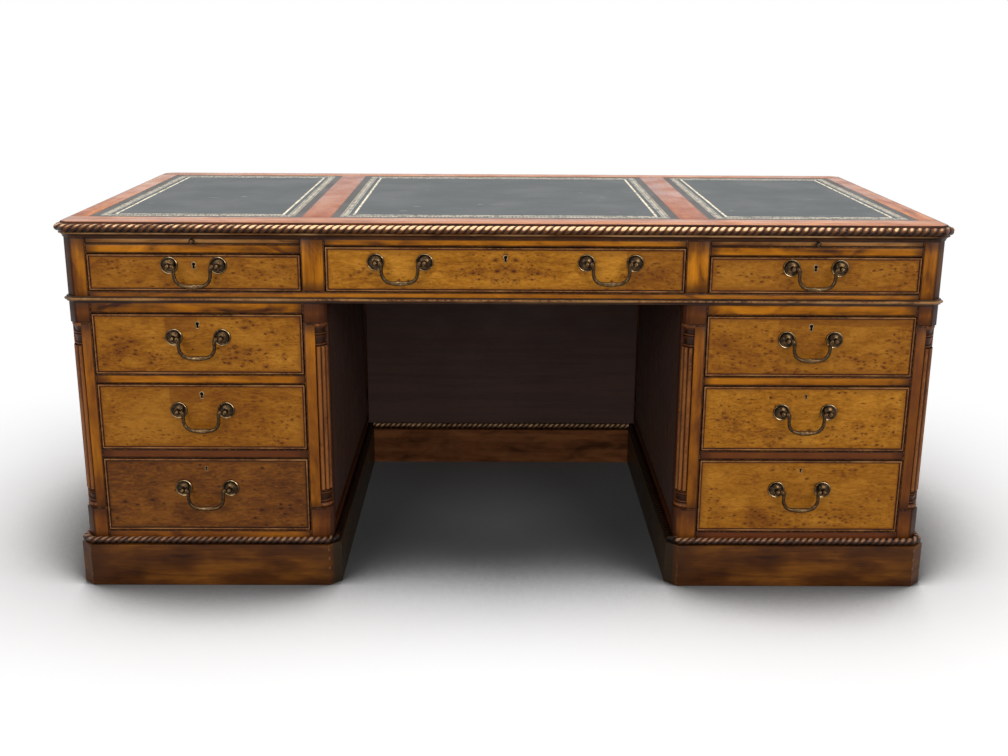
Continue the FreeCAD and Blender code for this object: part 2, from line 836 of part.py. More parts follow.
def fixing_screws():
    """Countersunk screws up through the subframe into the top and through the pedestal crowns."""
    head = rod("screw_head", "z", S.screw_head, (ZERO, ZERO, ZERO), S.screw_sink, taper_to=S.screw_radius)
    shank = rod("screw_shank", "z", S.screw_radius, (ZERO, ZERO, ZERO), S.screw_length)
    screw = fuse("screw", [head, shank])
    places = []
    top_y = carcass_y - S.subframe_width / 2
    pedestal_y = rail_back - S.subframe_width / 2
    for side in (-1, 1):
        for end in (-1, 1):
            for distance in (S.top_screw_inner, S.top_screw_outer):
                places.append((side * distance, end * top_y, frieze_top))
            for step in (-1, 1):
                x = side * (drawer_x + step * S.pedestal_screw_spread)
                places.append((x, end * pedestal_y, pedestal_top - S.board_thickness))
    copies = [group(f"screw_{number}", [screw], spot) for number, spot in enumerate(places, start=1)]
    return group("fixing_screws", copies)


# Drawers ---------------------------------------------------------------------------------

def drawer_front(name, x, width, low, high):
    """A veneered front with a cock bead let in around its edges, about the drawer's middle."""
    half = width / 2 - S.drawer_gap
    z = (low + S.drawer_gap, high - S.drawer_gap)
    inner_half = half - S.bead_width
    inner_z = (z[0] + S.bead_width, z[1] - S.bead_width)
    bead_y = (-carcass_y - S.bead_proud, -rail_back)
    pieces = [
        box(f"{name}_face", (-inner_half, inner_half), (-carcass_y, -rail_back), inner_z),
        box(f"{name}_bead_low", (-half, half), bead_y, (z[0], inner_z[0])),
        box(f"{name}_bead_high", (-half, half), bead_y, (inner_z[1], z[1])),
        box(f"{name}_bead_left", (-half, -inner_half), bead_y, inner_z),
        box(f"{name}_bead_right", (inner_half, half), bead_y, inner_z),
    ]
    return group(f"drawer_{name}_front", pieces, (x, ZERO, ZERO))


def drawer_box(name, x, width, low, high, length):
    """Sides, back and bottom behind the front."""
    outer = width / 2 - S.side_play
    inner = outer - S.drawer_side
    end = length - carcass_y
    foot = low + S.runner_play
    z = (foot, high - S.top_play)
    floor = foot + S.bottom_lift
    y = (-rail_back, end)
    inner_y = (-rail_back, end - S.drawer_side)
    pieces = [
        box(f"{name}_side_left", (-outer, -inner), y, z),
        box(f"{name}_side_right", (inner, outer), y, z),
        box(f"{name}_tail", (-inner, inner), (end - S.drawer_side, end), (floor, z[1])),
        box(f"{name}_bottom", (-inner, inner), inner_y, (floor, floor + S.drawer_bottom)),
    ]
    return group(f"drawer_{name}_box", pieces, (x, ZERO, ZERO))


def handle_post(name, x, z, hand):
    """Rosette, necked post with a drilled eye, bolt and round nut; hand is -1 left, 1 right."""
    seat_y = -carcass_y - S.rosette_thickness
    eye = ball(f"{name}_eye", S.eye_radius, (x, pivot_y, z))
    stem = rod(f"{name}_stem", "y", S.stem_radius, (x, pivot_y, z), seat_y - pivot_y)
    depth = S.pin_bite + S.pin_end_play
    drill_start = x - depth if hand < 0 else x - 2 * S.eye_radius
    drill_radius = S.pin_radius + S.pin_play
    drill = rod(f"{name}_drill", "x", drill_radius, (drill_start, pivot_y, z), depth + 2 * S.eye_radius)
    rosette = rod(f"{name}_rosette", "y", S.rosette_radius, (x, seat_y, z), S.rosette_thickness)
    bolt = rod(f"{name}_bolt", "y", S.stem_radius, (x, -carcass_y, z), S.rail_thickness)
    nut = rod(f"{name}_nut", "y", S.nut_radius, (x, -rail_back, z), S.nut_thickness)
    post = cut(f"{name}_post", fuse(f"{name}_necked", [eye, stem]), drill)
    return [post, rosette, bolt, nut]


def drawer_fittings(name, x, high, handle_z, handle_offsets):
    """Handle posts, keyhole plate and lock."""
    pieces = []
    for number, offset in enumerate(handle_offsets, start=1):
        for hand in (-1, 1):
            label = f"{name}_{side_name(hand)}_{number}"
            pieces += handle_post(label, offset + hand * S.handle_spacing / 2, handle_z, hand)
    key_z = high - S.keyhole_drop
    half_key = S.keyhole_width / 2
    half_lock = S.lock_width / 2
    key_span = (key_z - S.keyhole_height / 2, key_z + S.keyhole_height / 2)
    lock_span = (key_z - S.lock_height / 2, key_z + S.lock_height / 2)
    key_y = (-carcass_y - S.keyhole_proud, -carcass_y)
    lock_y = (-rail_back, S.lock_thickness - rail_back)
    pieces.append(box(f"{name}_keyhole_plate", (-half_key, half_key), key_y, key_span))
    pieces.append(box(f"{name}_lock", (-half_lock, half_lock), lock_y, lock_span))
    return group(f"drawer_{name}_fittings", pieces, (x, ZERO, ZERO))


def bail():
    """The drop handle about its pivot line, hanging down in the XZ plane."""
    shoulder = S.handle_spacing / 2 - S.eye_radius - S.shoulder_play
    leg = shoulder - S.hook_bend
    grip_end = leg - S.grip_bend
    leg_low = S.grip_bend - S.bail_drop
    leg_length = S.bail_drop - S.grip_bend - S.hook_bend
    pin_length = S.eye_radius + S.shoulder_play + S.pin_bite
    pieces = []
    for hand, hook_start, grip_start in ((-1, 0, 2 * QUARTER), (1, QUARTER, 3 * QUARTER)):
        name = f"bail_{side_name(hand)}"
        pin_start = shoulder if hand > 0 else -shoulder - pin_length
        hook_centre = (hand * shoulder, ZERO, -S.hook_bend)
        pieces += [
            rod(f"{name}_pin", "x", S.pin_radius, (pin_start, ZERO, ZERO), pin_length),
            bend(f"{name}_hook", S.hook_bend, S.wire_radius, hook_centre, hook_start),
            rod(f"{name}_leg", "z", S.wire_radius, (hand * leg, ZERO, leg_low), leg_length),
            bend(f"{name}_curve", S.grip_bend, S.wire_radius, (hand * grip_end, ZERO, leg_low), grip_start),
        ]
    low = -S.bail_drop
    thin, thick = S.wire_radius, S.grip_radius
    pieces.append(rod("bail_grip_left", "x", thin, (-grip_end, ZERO, low), grip_end, taper_to=thick))
    pieces.append(rod("bail_grip_right", "x", thick, (ZERO, ZERO, low), grip_end, taper_to=thin))
    return fuse("bail", pieces)


def drawers():
    """Every drawer with its front, box, fittings and hanging handles."""
    pair = {"left": -S.centre_handle_offset, "right": S.centre_handle_offset}
    plans = [("frieze_centre", ZERO, 2 * kneehole_x, frieze_open_low, centre_open_high,
              S.frieze_drawer_length, pair)]
    for side in (-1, 1):
        hand = side_name(side)
        x = side * drawer_x
        plans.append((f"frieze_{hand}", x, drawer_width, frieze_open_low, side_open_high,
                      S.frieze_drawer_length, {"": ZERO}))
        for level, (low, high) in pedestal_openings().items():
            plans.append((f"{hand}_{level}", x, drawer_width, low, high,
                          S.pedestal_drawer_length, {"": ZERO}))
    hanging = bail()
    parts = []
    for name, x, width, low, high, length, handles in plans:
        handle_z = (low + high) / 2 + S.handle_rise
        parts.append(drawer_front(name, x, width, low, high))
        parts.append(drawer_box(name, x, width, low, high, length))
        parts.append(drawer_fittings(name, x, high, handle_z, list(handles.values())))
        for label, offset in handles.items():
            bail_name = f"bail_{name}_{label}".rstrip("_")
            parts.append(group(bail_name, [hanging], (x + offset, pivot_y, handle_z)))
    return parts


def writing_slide(side):
    """A thin board that pulls out above the side drawer, with its small turned knob."""
    name = side_name(side)
    x = across(side, drawer_in + S.slide_play, drawer_out - S.slide_play)
    y = (-carcass_y, S.slide_length - carcass_y)
    z = (slot_low + S.slide_play, frieze_top - S.slide_play)
    knob_x = side * drawer_x
    knob_z = (slot_low + frieze_top) / 2
    knob_y = -carcass_y - S.knob_proud
    plate_start = (knob_x, -carcass_y - S.knob_plate, knob_z)
    plate = rod(f"{name}_knob_plate", "y", S.knob_radius, plate_start, S.knob_plate)
    neck = rod(f"{name}_knob_neck", "y", S.knob_neck, (knob_x, knob_y, knob_z), S.knob_proud)
    head = ball(f"{name}_knob_head", S.knob_radius, (knob_x, knob_y, knob_z))
    slide = group(f"{name}_writing_slide", [box(f"{name}_slide_board", x, y, z)])
    return [slide, fuse(f"{name}_slide_knob", [plate, neck, head])]


# The whole desk --------------------------------------------------------------------------

def sub_parts():
    parts = [
        top_boards(),
        leather_skivers(),
        top_rope_moulding(),
        carcass_moulding("top_cove_moulding", cove_section(), S.cove_reach),
        frieze_frame(),
        frieze_panels(),
        carcass_moulding("waist_moulding", waist_section(), S.waist_reach),
        corner_columns(),
        plinth_rope_moulding(),
        modesty_panel(),
        modesty_plinth(),
        drawer_runners(),
        fixing_screws(),
    ]
    for side in (-1, 1):
        parts += [pedestal_frame(side), pedestal_panels(side), plinth(side)]
        parts += writing_slide(side)
    return parts + drawers()


def check(parts):
    """Stop if anything failed to build or a sub-part isn't made of sound solids."""
    for item in doc.Objects:
        if {"Invalid", "Error"} & set(item.State):
            raise RuntimeError(f"{item.Name} did not build: {item.State}")
    for part in parts:
        shape = part.Shape
        if shape.isNull() or not shape.isValid() or not shape.Solids:
            raise RuntimeError(f"{part.Label} has no sound shape")
        for solid in shape.Solids:
            if solid.Volume <= 0:
                raise RuntimeError(f"{part.Label} has a solid of no volume")


def write(parts):
    os.makedirs("parts", exist_ok=True)
    for part in parts:
        part.Shape.exportStep(f"parts/{part.Label}.step")
        print(part.Label, len(part.Shape.Solids), round(part.Shape.Volume))


made = sub_parts()
doc.recompute()
check(made)
write(made)
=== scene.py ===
import math
import random
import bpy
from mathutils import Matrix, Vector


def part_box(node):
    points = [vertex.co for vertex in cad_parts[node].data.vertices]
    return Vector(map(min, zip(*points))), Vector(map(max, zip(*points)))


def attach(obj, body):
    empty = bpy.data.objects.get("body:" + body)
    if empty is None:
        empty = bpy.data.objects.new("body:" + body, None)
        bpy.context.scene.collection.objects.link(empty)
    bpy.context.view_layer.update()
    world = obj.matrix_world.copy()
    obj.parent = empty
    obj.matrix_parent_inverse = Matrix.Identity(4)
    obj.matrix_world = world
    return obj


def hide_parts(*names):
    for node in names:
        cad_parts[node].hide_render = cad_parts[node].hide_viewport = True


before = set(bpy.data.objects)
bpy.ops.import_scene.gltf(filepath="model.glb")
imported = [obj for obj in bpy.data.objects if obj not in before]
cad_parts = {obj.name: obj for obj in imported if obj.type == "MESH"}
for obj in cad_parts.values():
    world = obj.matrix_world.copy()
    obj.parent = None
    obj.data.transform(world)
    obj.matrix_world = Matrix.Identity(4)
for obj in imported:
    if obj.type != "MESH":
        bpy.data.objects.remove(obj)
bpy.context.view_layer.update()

from types import SimpleNamespace

import bmesh
import bpy
from mathutils import Matrix, Vector

# A pedestal writing desk: twisted rope mouldings, reeded columns, burr drawer fronts with
# cock beads and swan-neck handles, and a tooled leather top. Metres; +Y points to the back.

MM = 0.001
CHANCE = random.Random(7)

# Places read from the frame ------------------------------------------------------------------

FRIEZE_LOW, FRIEZE_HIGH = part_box("frieze_frame")
CASE_X = FRIEZE_HIGH.x
CASE_Y = FRIEZE_HIGH.y
CASE_FRONT = -CASE_Y
PEDESTAL_TOP = FRIEZE_LOW.z
TOP_LOW, TOP_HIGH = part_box("top_boards")
TOP_UNDER = TOP_LOW.z
COVE_LOW, COVE_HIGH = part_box("top_cove_moulding")
FRIEZE_TOP = COVE_LOW.z
CASE_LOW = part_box("right_pedestal_frame")[0]
KNEE_X = CASE_LOW.x
PLINTH_TOP = CASE_LOW.z
PLINTH_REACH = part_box("right_plinth")[1].x - CASE_X
TOP_ROPE_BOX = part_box("top_rope_moulding")
FOOT_ROPE_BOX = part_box("plinth_rope_moulding")
WAIST_LOW, WAIST_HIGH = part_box("waist_moulding")
NICHE_LOW, NICHE_HIGH = (corner.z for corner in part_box("corner_columns"))
MODESTY_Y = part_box("modesty_panel")[0].y
LEATHER_LOW, LEATHER_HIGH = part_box("leather_skivers")

# Sizes that the frame's boxes don't give.
GAP = 2.2 * MM
RAIL = 20 * MM
SUBFRAME = 60 * MM
SUBFRAME_INSET = 1 * MM
SLOT_GAP = 0.3 * MM
CORNER_CUT = 15 * MM
TOP_CUT = 17.05 * MM
NICHE = 25 * MM
CROSS_RAIL = 62 * MM

SIDES = {"left": -1, "right": 1}


def opening(node):
    """A drawer's opening in the front: its front's box, grown by the gap around it."""
    low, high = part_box(node)
    return SimpleNamespace(
        left=low.x - GAP, right=high.x + GAP, low=low.z - GAP, high=high.z + GAP,
        x=(low.x + high.x) / 2, z=(low.z + high.z) / 2,
        half_x=(high.x - low.x) / 2, half_z=(high.z - low.z) / 2,
    )


DRAWERS = [name.removesuffix("_front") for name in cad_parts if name.endswith("_front")]
OPENINGS = {name: opening(f"{name}_front") for name in DRAWERS}
BAY_IN = OPENINGS["drawer_right_upper"].left
BAY_OUT = OPENINGS["drawer_right_upper"].right
POST = CASE_X - BAY_OUT
INNER_POST = BAY_IN - KNEE_X


# Meshes --------------------------------------------------------------------------------------

def placed(name, data):
    """A new object of the scene."""
    made = bpy.data.objects.new(name, data)
    bpy.context.scene.collection.objects.link(made)
    return made


def blank(sample):
    return (0.0, 0.0, 0.0) if isinstance(sample, tuple) else 0.0


class Shape:
    """Vertices, faces and per-vertex values collected for one mesh."""

    def __init__(self):
        self.points = []
        self.faces = []
        self.values = {}

    def add(self, points, faces, **values):
        """Add a part. A value is one number or vector for the part, or one for each of its points."""
        start = len(self.points)
        self.points += [tuple(point) for point in points]
        self.faces += [tuple(start + index for index in face) for face in faces]
        for name, value in values.items():
            spread = value if isinstance(value, list) else [value] * len(points)
            column = self.values.setdefault(name, [])
            column += [blank(spread[0])] * (start - len(column)) + spread

    def build(self, name, body, slot, material, nodes=(), smooth=40):
        """Make the object, put it on its body and let it stand for its CAD nodes."""
        mesh = bpy.data.meshes.new(name)
        mesh.from_pydata(self.points, [], self.faces)
        for key, column in self.values.items():
            column += [blank(column[0])] * (len(self.points) - len(column))
            if isinstance(column[0], tuple):
                flat = [part for entry in column for part in entry]
                mesh.attributes.new(key, "FLOAT_VECTOR", "POINT").data.foreach_set("vector", flat)
            else:
                mesh.attributes.new(key, "FLOAT", "POINT").data.foreach_set("value", column)
        mesh.materials.append(material)
        mesh.shade_smooth()
        mesh.set_sharp_from_angle(angle=math.radians(smooth))
        piece = placed(name, mesh)
        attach(piece, body)
        if nodes:
            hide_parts(*nodes)


# Which coordinates hold the grain's length, width and depth.
GRAIN_ORDER = {"x": (0, 1, 2), "y": (1, 0, 2), "z": (2, 0, 1)}


def grain_values(points, axis, tone):
    """Values that a wood material reads: place along the grain, place in the board, and its size."""
    low = [min(point[k] for point in points) for k in range(3)]
    high = [max(point[k] for point in points) for k in range(3)]
    middle = [(a + b) / 2 for a, b in zip(low, high)]
    half = [(b - a) / 2 for a, b in zip(low, high)]
    order = GRAIN_ORDER[axis]
    shift = [CHANCE.uniform(-5, 5) for _ in range(3)]
    local = [tuple(point[k] - middle[k] for k in order) for point in points]
    grain = [tuple(value + move for value, move in zip(place, shift)) for place in local]
    return {"grain": grain, "local": local, "half": tuple(half[k] for k in order), "tone": float(tone)}


def emptied(mesh):
    """A bmesh's points and faces. The bmesh is freed."""
    mesh.verts.index_update()
    points = [vertex.co[:] for vertex in mesh.verts]
    faces = [[vertex.index for vertex in face.verts] for face in mesh.faces]
    mesh.free()
    return points, faces


def vertices(geometry):
    return [item for item in geometry if isinstance(item, bmesh.types.BMVert)]


def add_eased(shape, mesh, grain, tone, bevel):
    """Round a bmesh's sharp edges and add it as a piece of wood."""
    sharp = [edge for edge in mesh.edges if edge.calc_face_angle(0) > math.radians(20)]
    bmesh.ops.bevel(
        mesh, geom=sharp, offset=bevel, segments=2, profile=0.5, affect="EDGES", clamp_overlap=True)
    points, faces = emptied(mesh)
    shape.add(points, faces, **grain_values(points, grain, tone))


def board(shape, x, y, z, grain="x", tone=0.0, bevel=0.5 * MM):
    """A board between low and high places, with its arrises eased."""
    mesh = bmesh.new()
    bmesh.ops.create_cube(mesh, size=1)
    size = [high - low for low, high in (x, y, z)]
    middle = [(low + high) / 2 for low, high in (x, y, z)]
    mesh.transform(Matrix.Translation(middle) @ Matrix.Diagonal((*size, 1)))
    add_eased(shape, mesh, grain, tone, bevel)


def prism(shape, plan, z, grain="z", tone=0.0, bevel=0.5 * MM):
    """An upright piece with the given plan, its arrises eased."""
    mesh = bmesh.new()
    base = mesh.faces.new([mesh.verts.new((px, py, z[0])) for px, py in plan])
    raised = bmesh.ops.extrude_face_region(mesh, geom=[base])["geom"]
    bmesh.ops.translate(mesh, verts=vertices(raised), vec=(0, 0, z[1] - z[0]))
    bmesh.ops.recalc_face_normals(mesh, faces=mesh.faces)
    add_eased(shape, mesh, grain, tone, bevel)


def span(side, near, far):
    """The span in X between two distances from the middle, on the left (-1) or right (1)."""
    return (near, far) if side > 0 else (-far, -near)


def octagon(half_x, half_y, cut, grow, centre_x=0.0):
    """A rectangle with cut corners, grown outwards; anticlockwise from the front left."""
    x = half_x + grow
    y = half_y + grow
    c = cut + grow * (2 - math.sqrt(2))
    plan = [(c - x, -y), (x - c, -y), (x, c - y), (x, y - c)]
    plan += [(x - c, y), (c - x, y), (-x, y - c), (-x, c - y)]
    return [(px + centre_x, py) for px, py in plan]


def rectangle(half_x, half_y, grow=0.0):
    x = half_x + grow
    y = half_y + grow
    return [(-x, -y), (x, -y), (x, y), (-x, y)]


def grid_faces(rows, columns, closed):
    """Quads between neighbouring rows of points; closed joins the last row to the first."""
    faces = []
    for row in range(rows if closed else rows - 1):
        here, after = row * columns, (row + 1) % rows * columns
        for column in range(columns - 1):
            faces.append((here + column, after + column, after + column + 1, here + column + 1))
    return faces


def swept(shape, profile, plan_at, tone=0.0, axis=None, crest=None):
    """A mitred moulding: profile holds (out, z) points and plan_at(out) gives the plan's corners.

    Each run gets a middle point, so that the value "corner" can hold the distance to a mitre.
    crest gives each profile point's brightness for painted shade and highlight, from 0 in a hollow to 1 on a
    crown.
    """
    rings = [plan_at(out) for out, _ in profile]
    count = len(rings[0])
    points, corner, grain = [], [], []
    travelled = 0.0
    for index in range(count):
        after = (index + 1) % count
        run = math.dist(rings[0][index], rings[0][after])
        for share in (0.0, 0.5):
            for ring, (out, z) in zip(rings, profile):
                (ax, ay), (bx, by) = ring[index], ring[after]
                px, py = ax + (bx - ax) * share, ay + (by - ay) * share
                points.append((px, py, z) if axis is None else axis(px, py, z))
                corner.append(share * run)
                grain.append((travelled + share * run, out, z))
        travelled += run
    heights = list(crest or [0.9] * len(profile)) * (2 * count)
    faces = grid_faces(2 * count, len(profile), True)
    shape.add(points, faces, corner=corner, grain=grain, tone=float(tone), crest=heights)


def polar(radius, degrees):
    angle = math.radians(degrees)
    return radius * math.cos(angle), radius * math.sin(angle)


def arc(centre, radius, start, end, count):
    """Points (out, z) of an arc between two angles in degrees, counted from outwards to up."""
    turns = [polar(radius, start + (end - start) * index / count) for index in range(count + 1)]
    return [(centre[0] + px, centre[1] + py) for px, py in turns]


# Turned pieces get a painted highlight, strongest towards the upper right and the lower left (degrees).
HIGHLIGHT_WAY = 60
RIM_CONTRAST = 0.6


def lathe(shape, profile, segments, place, angles=(0, 360), rub=(), **values):
    """Turn a profile of (radius, height) about an axis; place maps (x, y, height) into the desk.

    rub gives each profile point's brightness, 0 to 1: polish from handling, and painted highlight.
    """
    full = angles[1] - angles[0] >= 360
    rows = segments if full else segments + 1
    points, polish = [], []
    for row in range(rows):
        turn = angles[0] + (angles[1] - angles[0]) * row / segments
        points += [place(*polar(radius, turn), height) for radius, height in profile]
        # Painted highlight: brightest towards HIGHLIGHT_WAY and the opposite side, dimmer between.
        facing = 1 - RIM_CONTRAST * (1 - math.cos(math.radians(turn - HIGHLIGHT_WAY)) ** 4)
        polish += [amount * facing for amount in rub]
    if rub:
        values["rub"] = polish
    shape.add(points, grid_faces(rows, len(profile), full), **values)


def tube(shape, line, radii, sides, rub):
    """A round bar of changing thickness along a smooth line in XZ, with closed ends."""
    count = len(line)
    points = [None] * (sides * count)
    for index, here in enumerate(line):
        way = (line[min(index + 1, count - 1)] - line[max(index - 1, 0)]).normalized()
        side = way.cross(Vector((0, 1, 0))).normalized()
        up = side.cross(way)
        for step in range(sides):
            across, above = polar(1, 360 * step / sides)
            points[step * count + index] = here + radii[index] * (across * side + above * up)
    faces = grid_faces(sides, count, True)
    faces.append([step * count for step in reversed(range(sides))])
    faces.append([step * count + count - 1 for step in range(sides)])
    shape.add(points, faces, rub=rub * sides)


def smooth_line(knots, steps):
    """A Catmull-Rom line through knots of any dimension."""
    ends = [2 * knots[0] - knots[1]] + knots + [2 * knots[-1] - knots[-2]]
    line = []
    for a, b, c, d in zip(ends, ends[1:], ends[2:], ends[3:]):
        for step in range(steps):
            u = step / steps
            line.append(0.5 * (2 * b + (c - a) * u + (2 * a - 5 * b + 4 * c - d) * u**2
                               + (3 * b - a - 3 * c + d) * u**3))
    return line + [knots[-1]]


# Materials -----------------------------------------------------------------------------------

def shade(colour):
    """A colour as it looks on screen, 0 to 255, made linear. Four numbers are linear already."""
    if len(colour) == 4:
        return colour
    parts = [value / 255 for value in colour]
    return (*(v / 12.92 if v <= 0.04045 else ((v + 0.055) / 1.055) ** 2.4 for v in parts), 1.0)


def operator(operation):
    """A method of Field that adds one math node."""
    return lambda self, *others: self.math(operation, *others)


class Field:
    """A node's output. What is done with it adds nodes to the same material."""

    __add__ = operator("ADD")
    __sub__ = operator("SUBTRACT")
    __mul__ = operator("MULTIPLY")
    __truediv__ = operator("DIVIDE")
    __gt__ = operator("GREATER_THAN")
    __lt__ = operator("LESS_THAN")
    __abs__ = operator("ABSOLUTE")
    minimum = operator("MINIMUM")
    maximum = operator("MAXIMUM")

    def __init__(self, paint, socket):
        self.paint = paint
        self.socket = socket

    def math(self, operation, *others, **settings):
        """Arithmetic on numbers, or on vectors where this is a vector or a colour."""
        kind = "Math" if self.socket.type == "VALUE" else "VectorMath"
        return self.paint.add(kind, [self, *others], operation=operation, **settings)

    def inverse(self):
        """One minus this."""
        return self.paint.add("Math", [1.0, self], operation="SUBTRACT")

    def length(self):
        return self.paint.add("VectorMath", [self], "Value", operation="LENGTH")

    def parts(self):
        node = self.paint.add("SeparateXYZ", [self]).socket.node
        return [Field(self.paint, socket) for socket in node.outputs]

    def noise(self, scale, detail=3.0, rough=0.55, distortion=0.0, out="Fac"):
        """Noise at this place; scale is one number, or one for each direction."""
        where, scale = (self * scale, 1.0) if isinstance(scale, tuple) else (self, scale)
        inputs = {"Vector": where, "Scale": scale, "Detail": detail, "Roughness": rough}
        return self.paint.add("TexNoise", {**inputs, "Distortion": distortion}, out)

    def cells(self, scale, feature="F1", out="Distance"):
        return self.paint.add("TexVoronoi", {"Vector": self, "Scale": scale}, out, feature=feature)

    def step(self, low, high, start=0.0, end=1.0):
        """A soft step from start to end as this goes from low to high."""
        return self.paint.add("MapRange", [self, low, high, start, end], interpolation_type="SMOOTHSTEP")

    def ramp(self, *stops):
        """A colour for each value, between stops of (value, colour)."""
        colours = self.paint.add("ValToRGB", [self])
        elements = colours.socket.node.color_ramp.elements
        while len(elements) < len(stops):
            elements.new(0.5)
        for element, (place, colour) in zip(elements, stops):
            element.position = place
            element.color = shade(colour)
        return colours

    def bump(self, strength, distance):
        return self.paint.add("Bump", {"Strength": strength, "Distance": distance, "Height": self})


class Paint:
    """A node material or world under construction."""

    def __init__(self, name, store="materials"):
        self.owner = getattr(bpy.data, store).new(name)
        self.owner.use_nodes = True
        self.tree = self.owner.node_tree
        self.tree.nodes.clear()

    def add(self, kind, inputs=(), out=0, **settings):
        """Add a node, feed its inputs by place or by name, and return one of its outputs."""
        made = self.tree.nodes.new("ShaderNode" + kind)
        for key, value in settings.items():
            setattr(made, key, value)
        for key, value in inputs.items() if isinstance(inputs, dict) else enumerate(inputs):
            socket = made.inputs[key]
            if isinstance(value, Field):
                self.tree.links.new(value.socket, socket)
            else:
                socket.default_value = shade(value) if socket.type == "RGBA" else value
        return Field(self, made.outputs[out]) if made.outputs else None

    def place(self):
        return self.add("TexCoord", out="Object")

    def vector(self, name):
        return self.add("Attribute", out="Vector", attribute_name=name)

    def value(self, name):
        return self.add("Attribute", out="Fac", attribute_name=name)

    def joined(self, x, y, z):
        return self.add("CombineXYZ", [x, y, z])

    def blend(self, amount, a, b, mode="MIX"):
        return self.add("Mix", {0: amount, 6: a, 7: b}, 2, data_type="RGBA", blend_type=mode)

    def far(self):
        """How far a point lies inside its board's faces, in each direction."""
        return (self.vector("half") - abs(self.vector("local"))).parts()

    def finish(self, colour, roughness, normal=None, **uniform):
        """Close the material. Uniform settings go straight onto the shader's sockets."""
        inputs = {"Base Color": colour, "Roughness": roughness}
        if normal is not None:
            inputs["Normal"] = normal
        inputs.update({name.replace("_", " "): value for name, value in uniform.items()})
        self.add("OutputMaterial", [self.add("BsdfPrincipled", inputs)])
        return self.owner


def wood_place(paint, along):
    """Where a wood's figure is read: a piece's own values, or plain places with the grain first."""
    if along is None:
        return paint.vector("grain")
    spot = paint.place().parts()
    return paint.joined(*(spot[index] for index in GRAIN_ORDER[along]))


def polished(paint, where, colour, rough, pores, specular):
    """Close a wood material with fine pores along the grain; pores holds their width and lightness."""
    fibre = where.noise((32, 900, 900), detail=2)
    light = fibre.step(0.3, pores[0], pores[1], 1.0)
    colour = paint.blend(1.0, colour, paint.joined(light, light, light), "MULTIPLY")
    return paint.finish(colour, rough, fibre.bump(0.12, 0.4 * MM), Specular_IOR_Level=specular)


# Soft edges of the kneehole's painted shade, from none to full: past its sides, behind the desk's front
# and behind the modesty panel's face. The last is that of the painted shade inside the plane of the cut
# corners.
KNEE_SHADE_SIDE = (30 * MM, 20 * MM)
KNEE_SHADE_FRONT = (7.5 * MM, 9.5 * MM)
KNEE_SHADE_BACK = (12 * MM, 4 * MM)
CUT_CORNER_SHADE = (6 * MM, 1 * MM)


def wood(name, dark, mid, light, red, kind="board", along=None, aged=1.0, ends=1.0, wear_and_highlight=0.5,
         gloss=0.36, specular=0.12, knee_shades=None, fine=1.0):
    """A polished straight-grained wood, darker in patches and towards the ends of each board.

    kind is "board", "moulding" or "turned" for the values that the piece carries, or "node" for a
    CAD node. knee_shades is the pair of colours painted as shade on the sides that face the kneehole;
    the painted shade also darkens the desk's cut corners. fine makes the figure narrower.
    """
    paint = Paint(name)
    where = wood_place(paint, along) * (1, fine, fine)
    streak = where.noise((2.2, 46, 46), detail=4)
    figure = where.noise((9, 24, 24), distortion=1.4)
    patch = where.noise((11, 15, 15), rough=0.6)
    colour = (streak * 0.55 + figure * 0.45).ramp((0.34, dark), (0.46, mid), (0.62, light))
    colour = paint.blend(patch.step(0.53, 0.7) * (0.75 * aged), colour, dark)
    if kind != "node":
        colour = paint.blend((paint.value("tone") + patch * 0.5).step(0.25, 1.25), colour, red)
    if kind == "board":
        far = paint.far()
        colour = paint.blend(far[0].step(patch * 0.075, 0.0) * (0.8 * ends), colour, dark)
        nearest = (far[0] + far[1]).minimum(far[1] + far[2]).minimum(far[0] + far[2])
        # Dark bands along every arris: partly grime in the joints, partly painted shade of the gaps around
        # openings.
        colour = paint.blend(nearest.step(4 * MM, 1.6 * MM) * (0.9 * ends), colour, GRIME_AND_SHADE)
        # Arrises lighter where worn, partly a painted highlight along them.
        arris = nearest.step(1.4 * MM, 0.4 * MM) * where.noise(160).step(0.46, 0.62)
        colour = paint.blend(arris * wear_and_highlight, colour, light)
    # Painted shade in hollows and grooves, and a painted highlight on crowns, read from "crest".
    elif kind in ("moulding", "turned"):
        crest = paint.value("crest")
        brink = 1.0 if kind == "turned" else 0.75
        colour = paint.blend(crest.step(brink, 0.1, 0.0, 0.9), colour, dark)
        crown = crest.step(0.82, 1.0) * where.noise(130).step(0.42, 0.6)
        colour = paint.blend(crown * wear_and_highlight, colour, light)
    # Painted shade: inside the kneehole, and on the cut corners.
    if knee_shades:
        out = abs(paint.place()).parts()
        deep = paint.place().parts()[1]
        between_sides = out[0].step(KNEE_X + KNEE_SHADE_SIDE[0], KNEE_X + KNEE_SHADE_SIDE[1])
        behind_front = deep.step(CASE_FRONT + KNEE_SHADE_FRONT[0], CASE_FRONT + KNEE_SHADE_FRONT[1])
        before_panel = deep.step(MODESTY_Y + KNEE_SHADE_BACK[0], MODESTY_Y + KNEE_SHADE_BACK[1])
        inside = between_sides * behind_front * before_panel
        cant = CASE_X + CASE_Y - CORNER_CUT
        beyond = (out[0] + out[1]).step(cant - CUT_CORNER_SHADE[0], cant - CUT_CORNER_SHADE[1])
        colour = paint.blend(beyond * 0.8, colour, GRIME_AND_SHADE)
        colour = paint.blend(inside, colour, paint.blend(streak.step(0.4, 0.6), *knee_shades))
    rough = patch.step(0.3, 0.7, gloss - 0.05, gloss + 0.12)
    return polished(paint, where, colour, rough, (0.5, 0.8), specular)


def spots(where, scale, size, chance):
    """Small dark pips: one in some of a pattern's cells, the share of them given by chance."""
    pick = where.cells(scale, out="Color").parts()
    radius = pick[1].step(0.0, 1.0, 0.45, 1.0) * size
    pip = (where.cells(scale) / radius).step(0.25, 1.0).inverse()
    return pip * (pick[0] < chance)


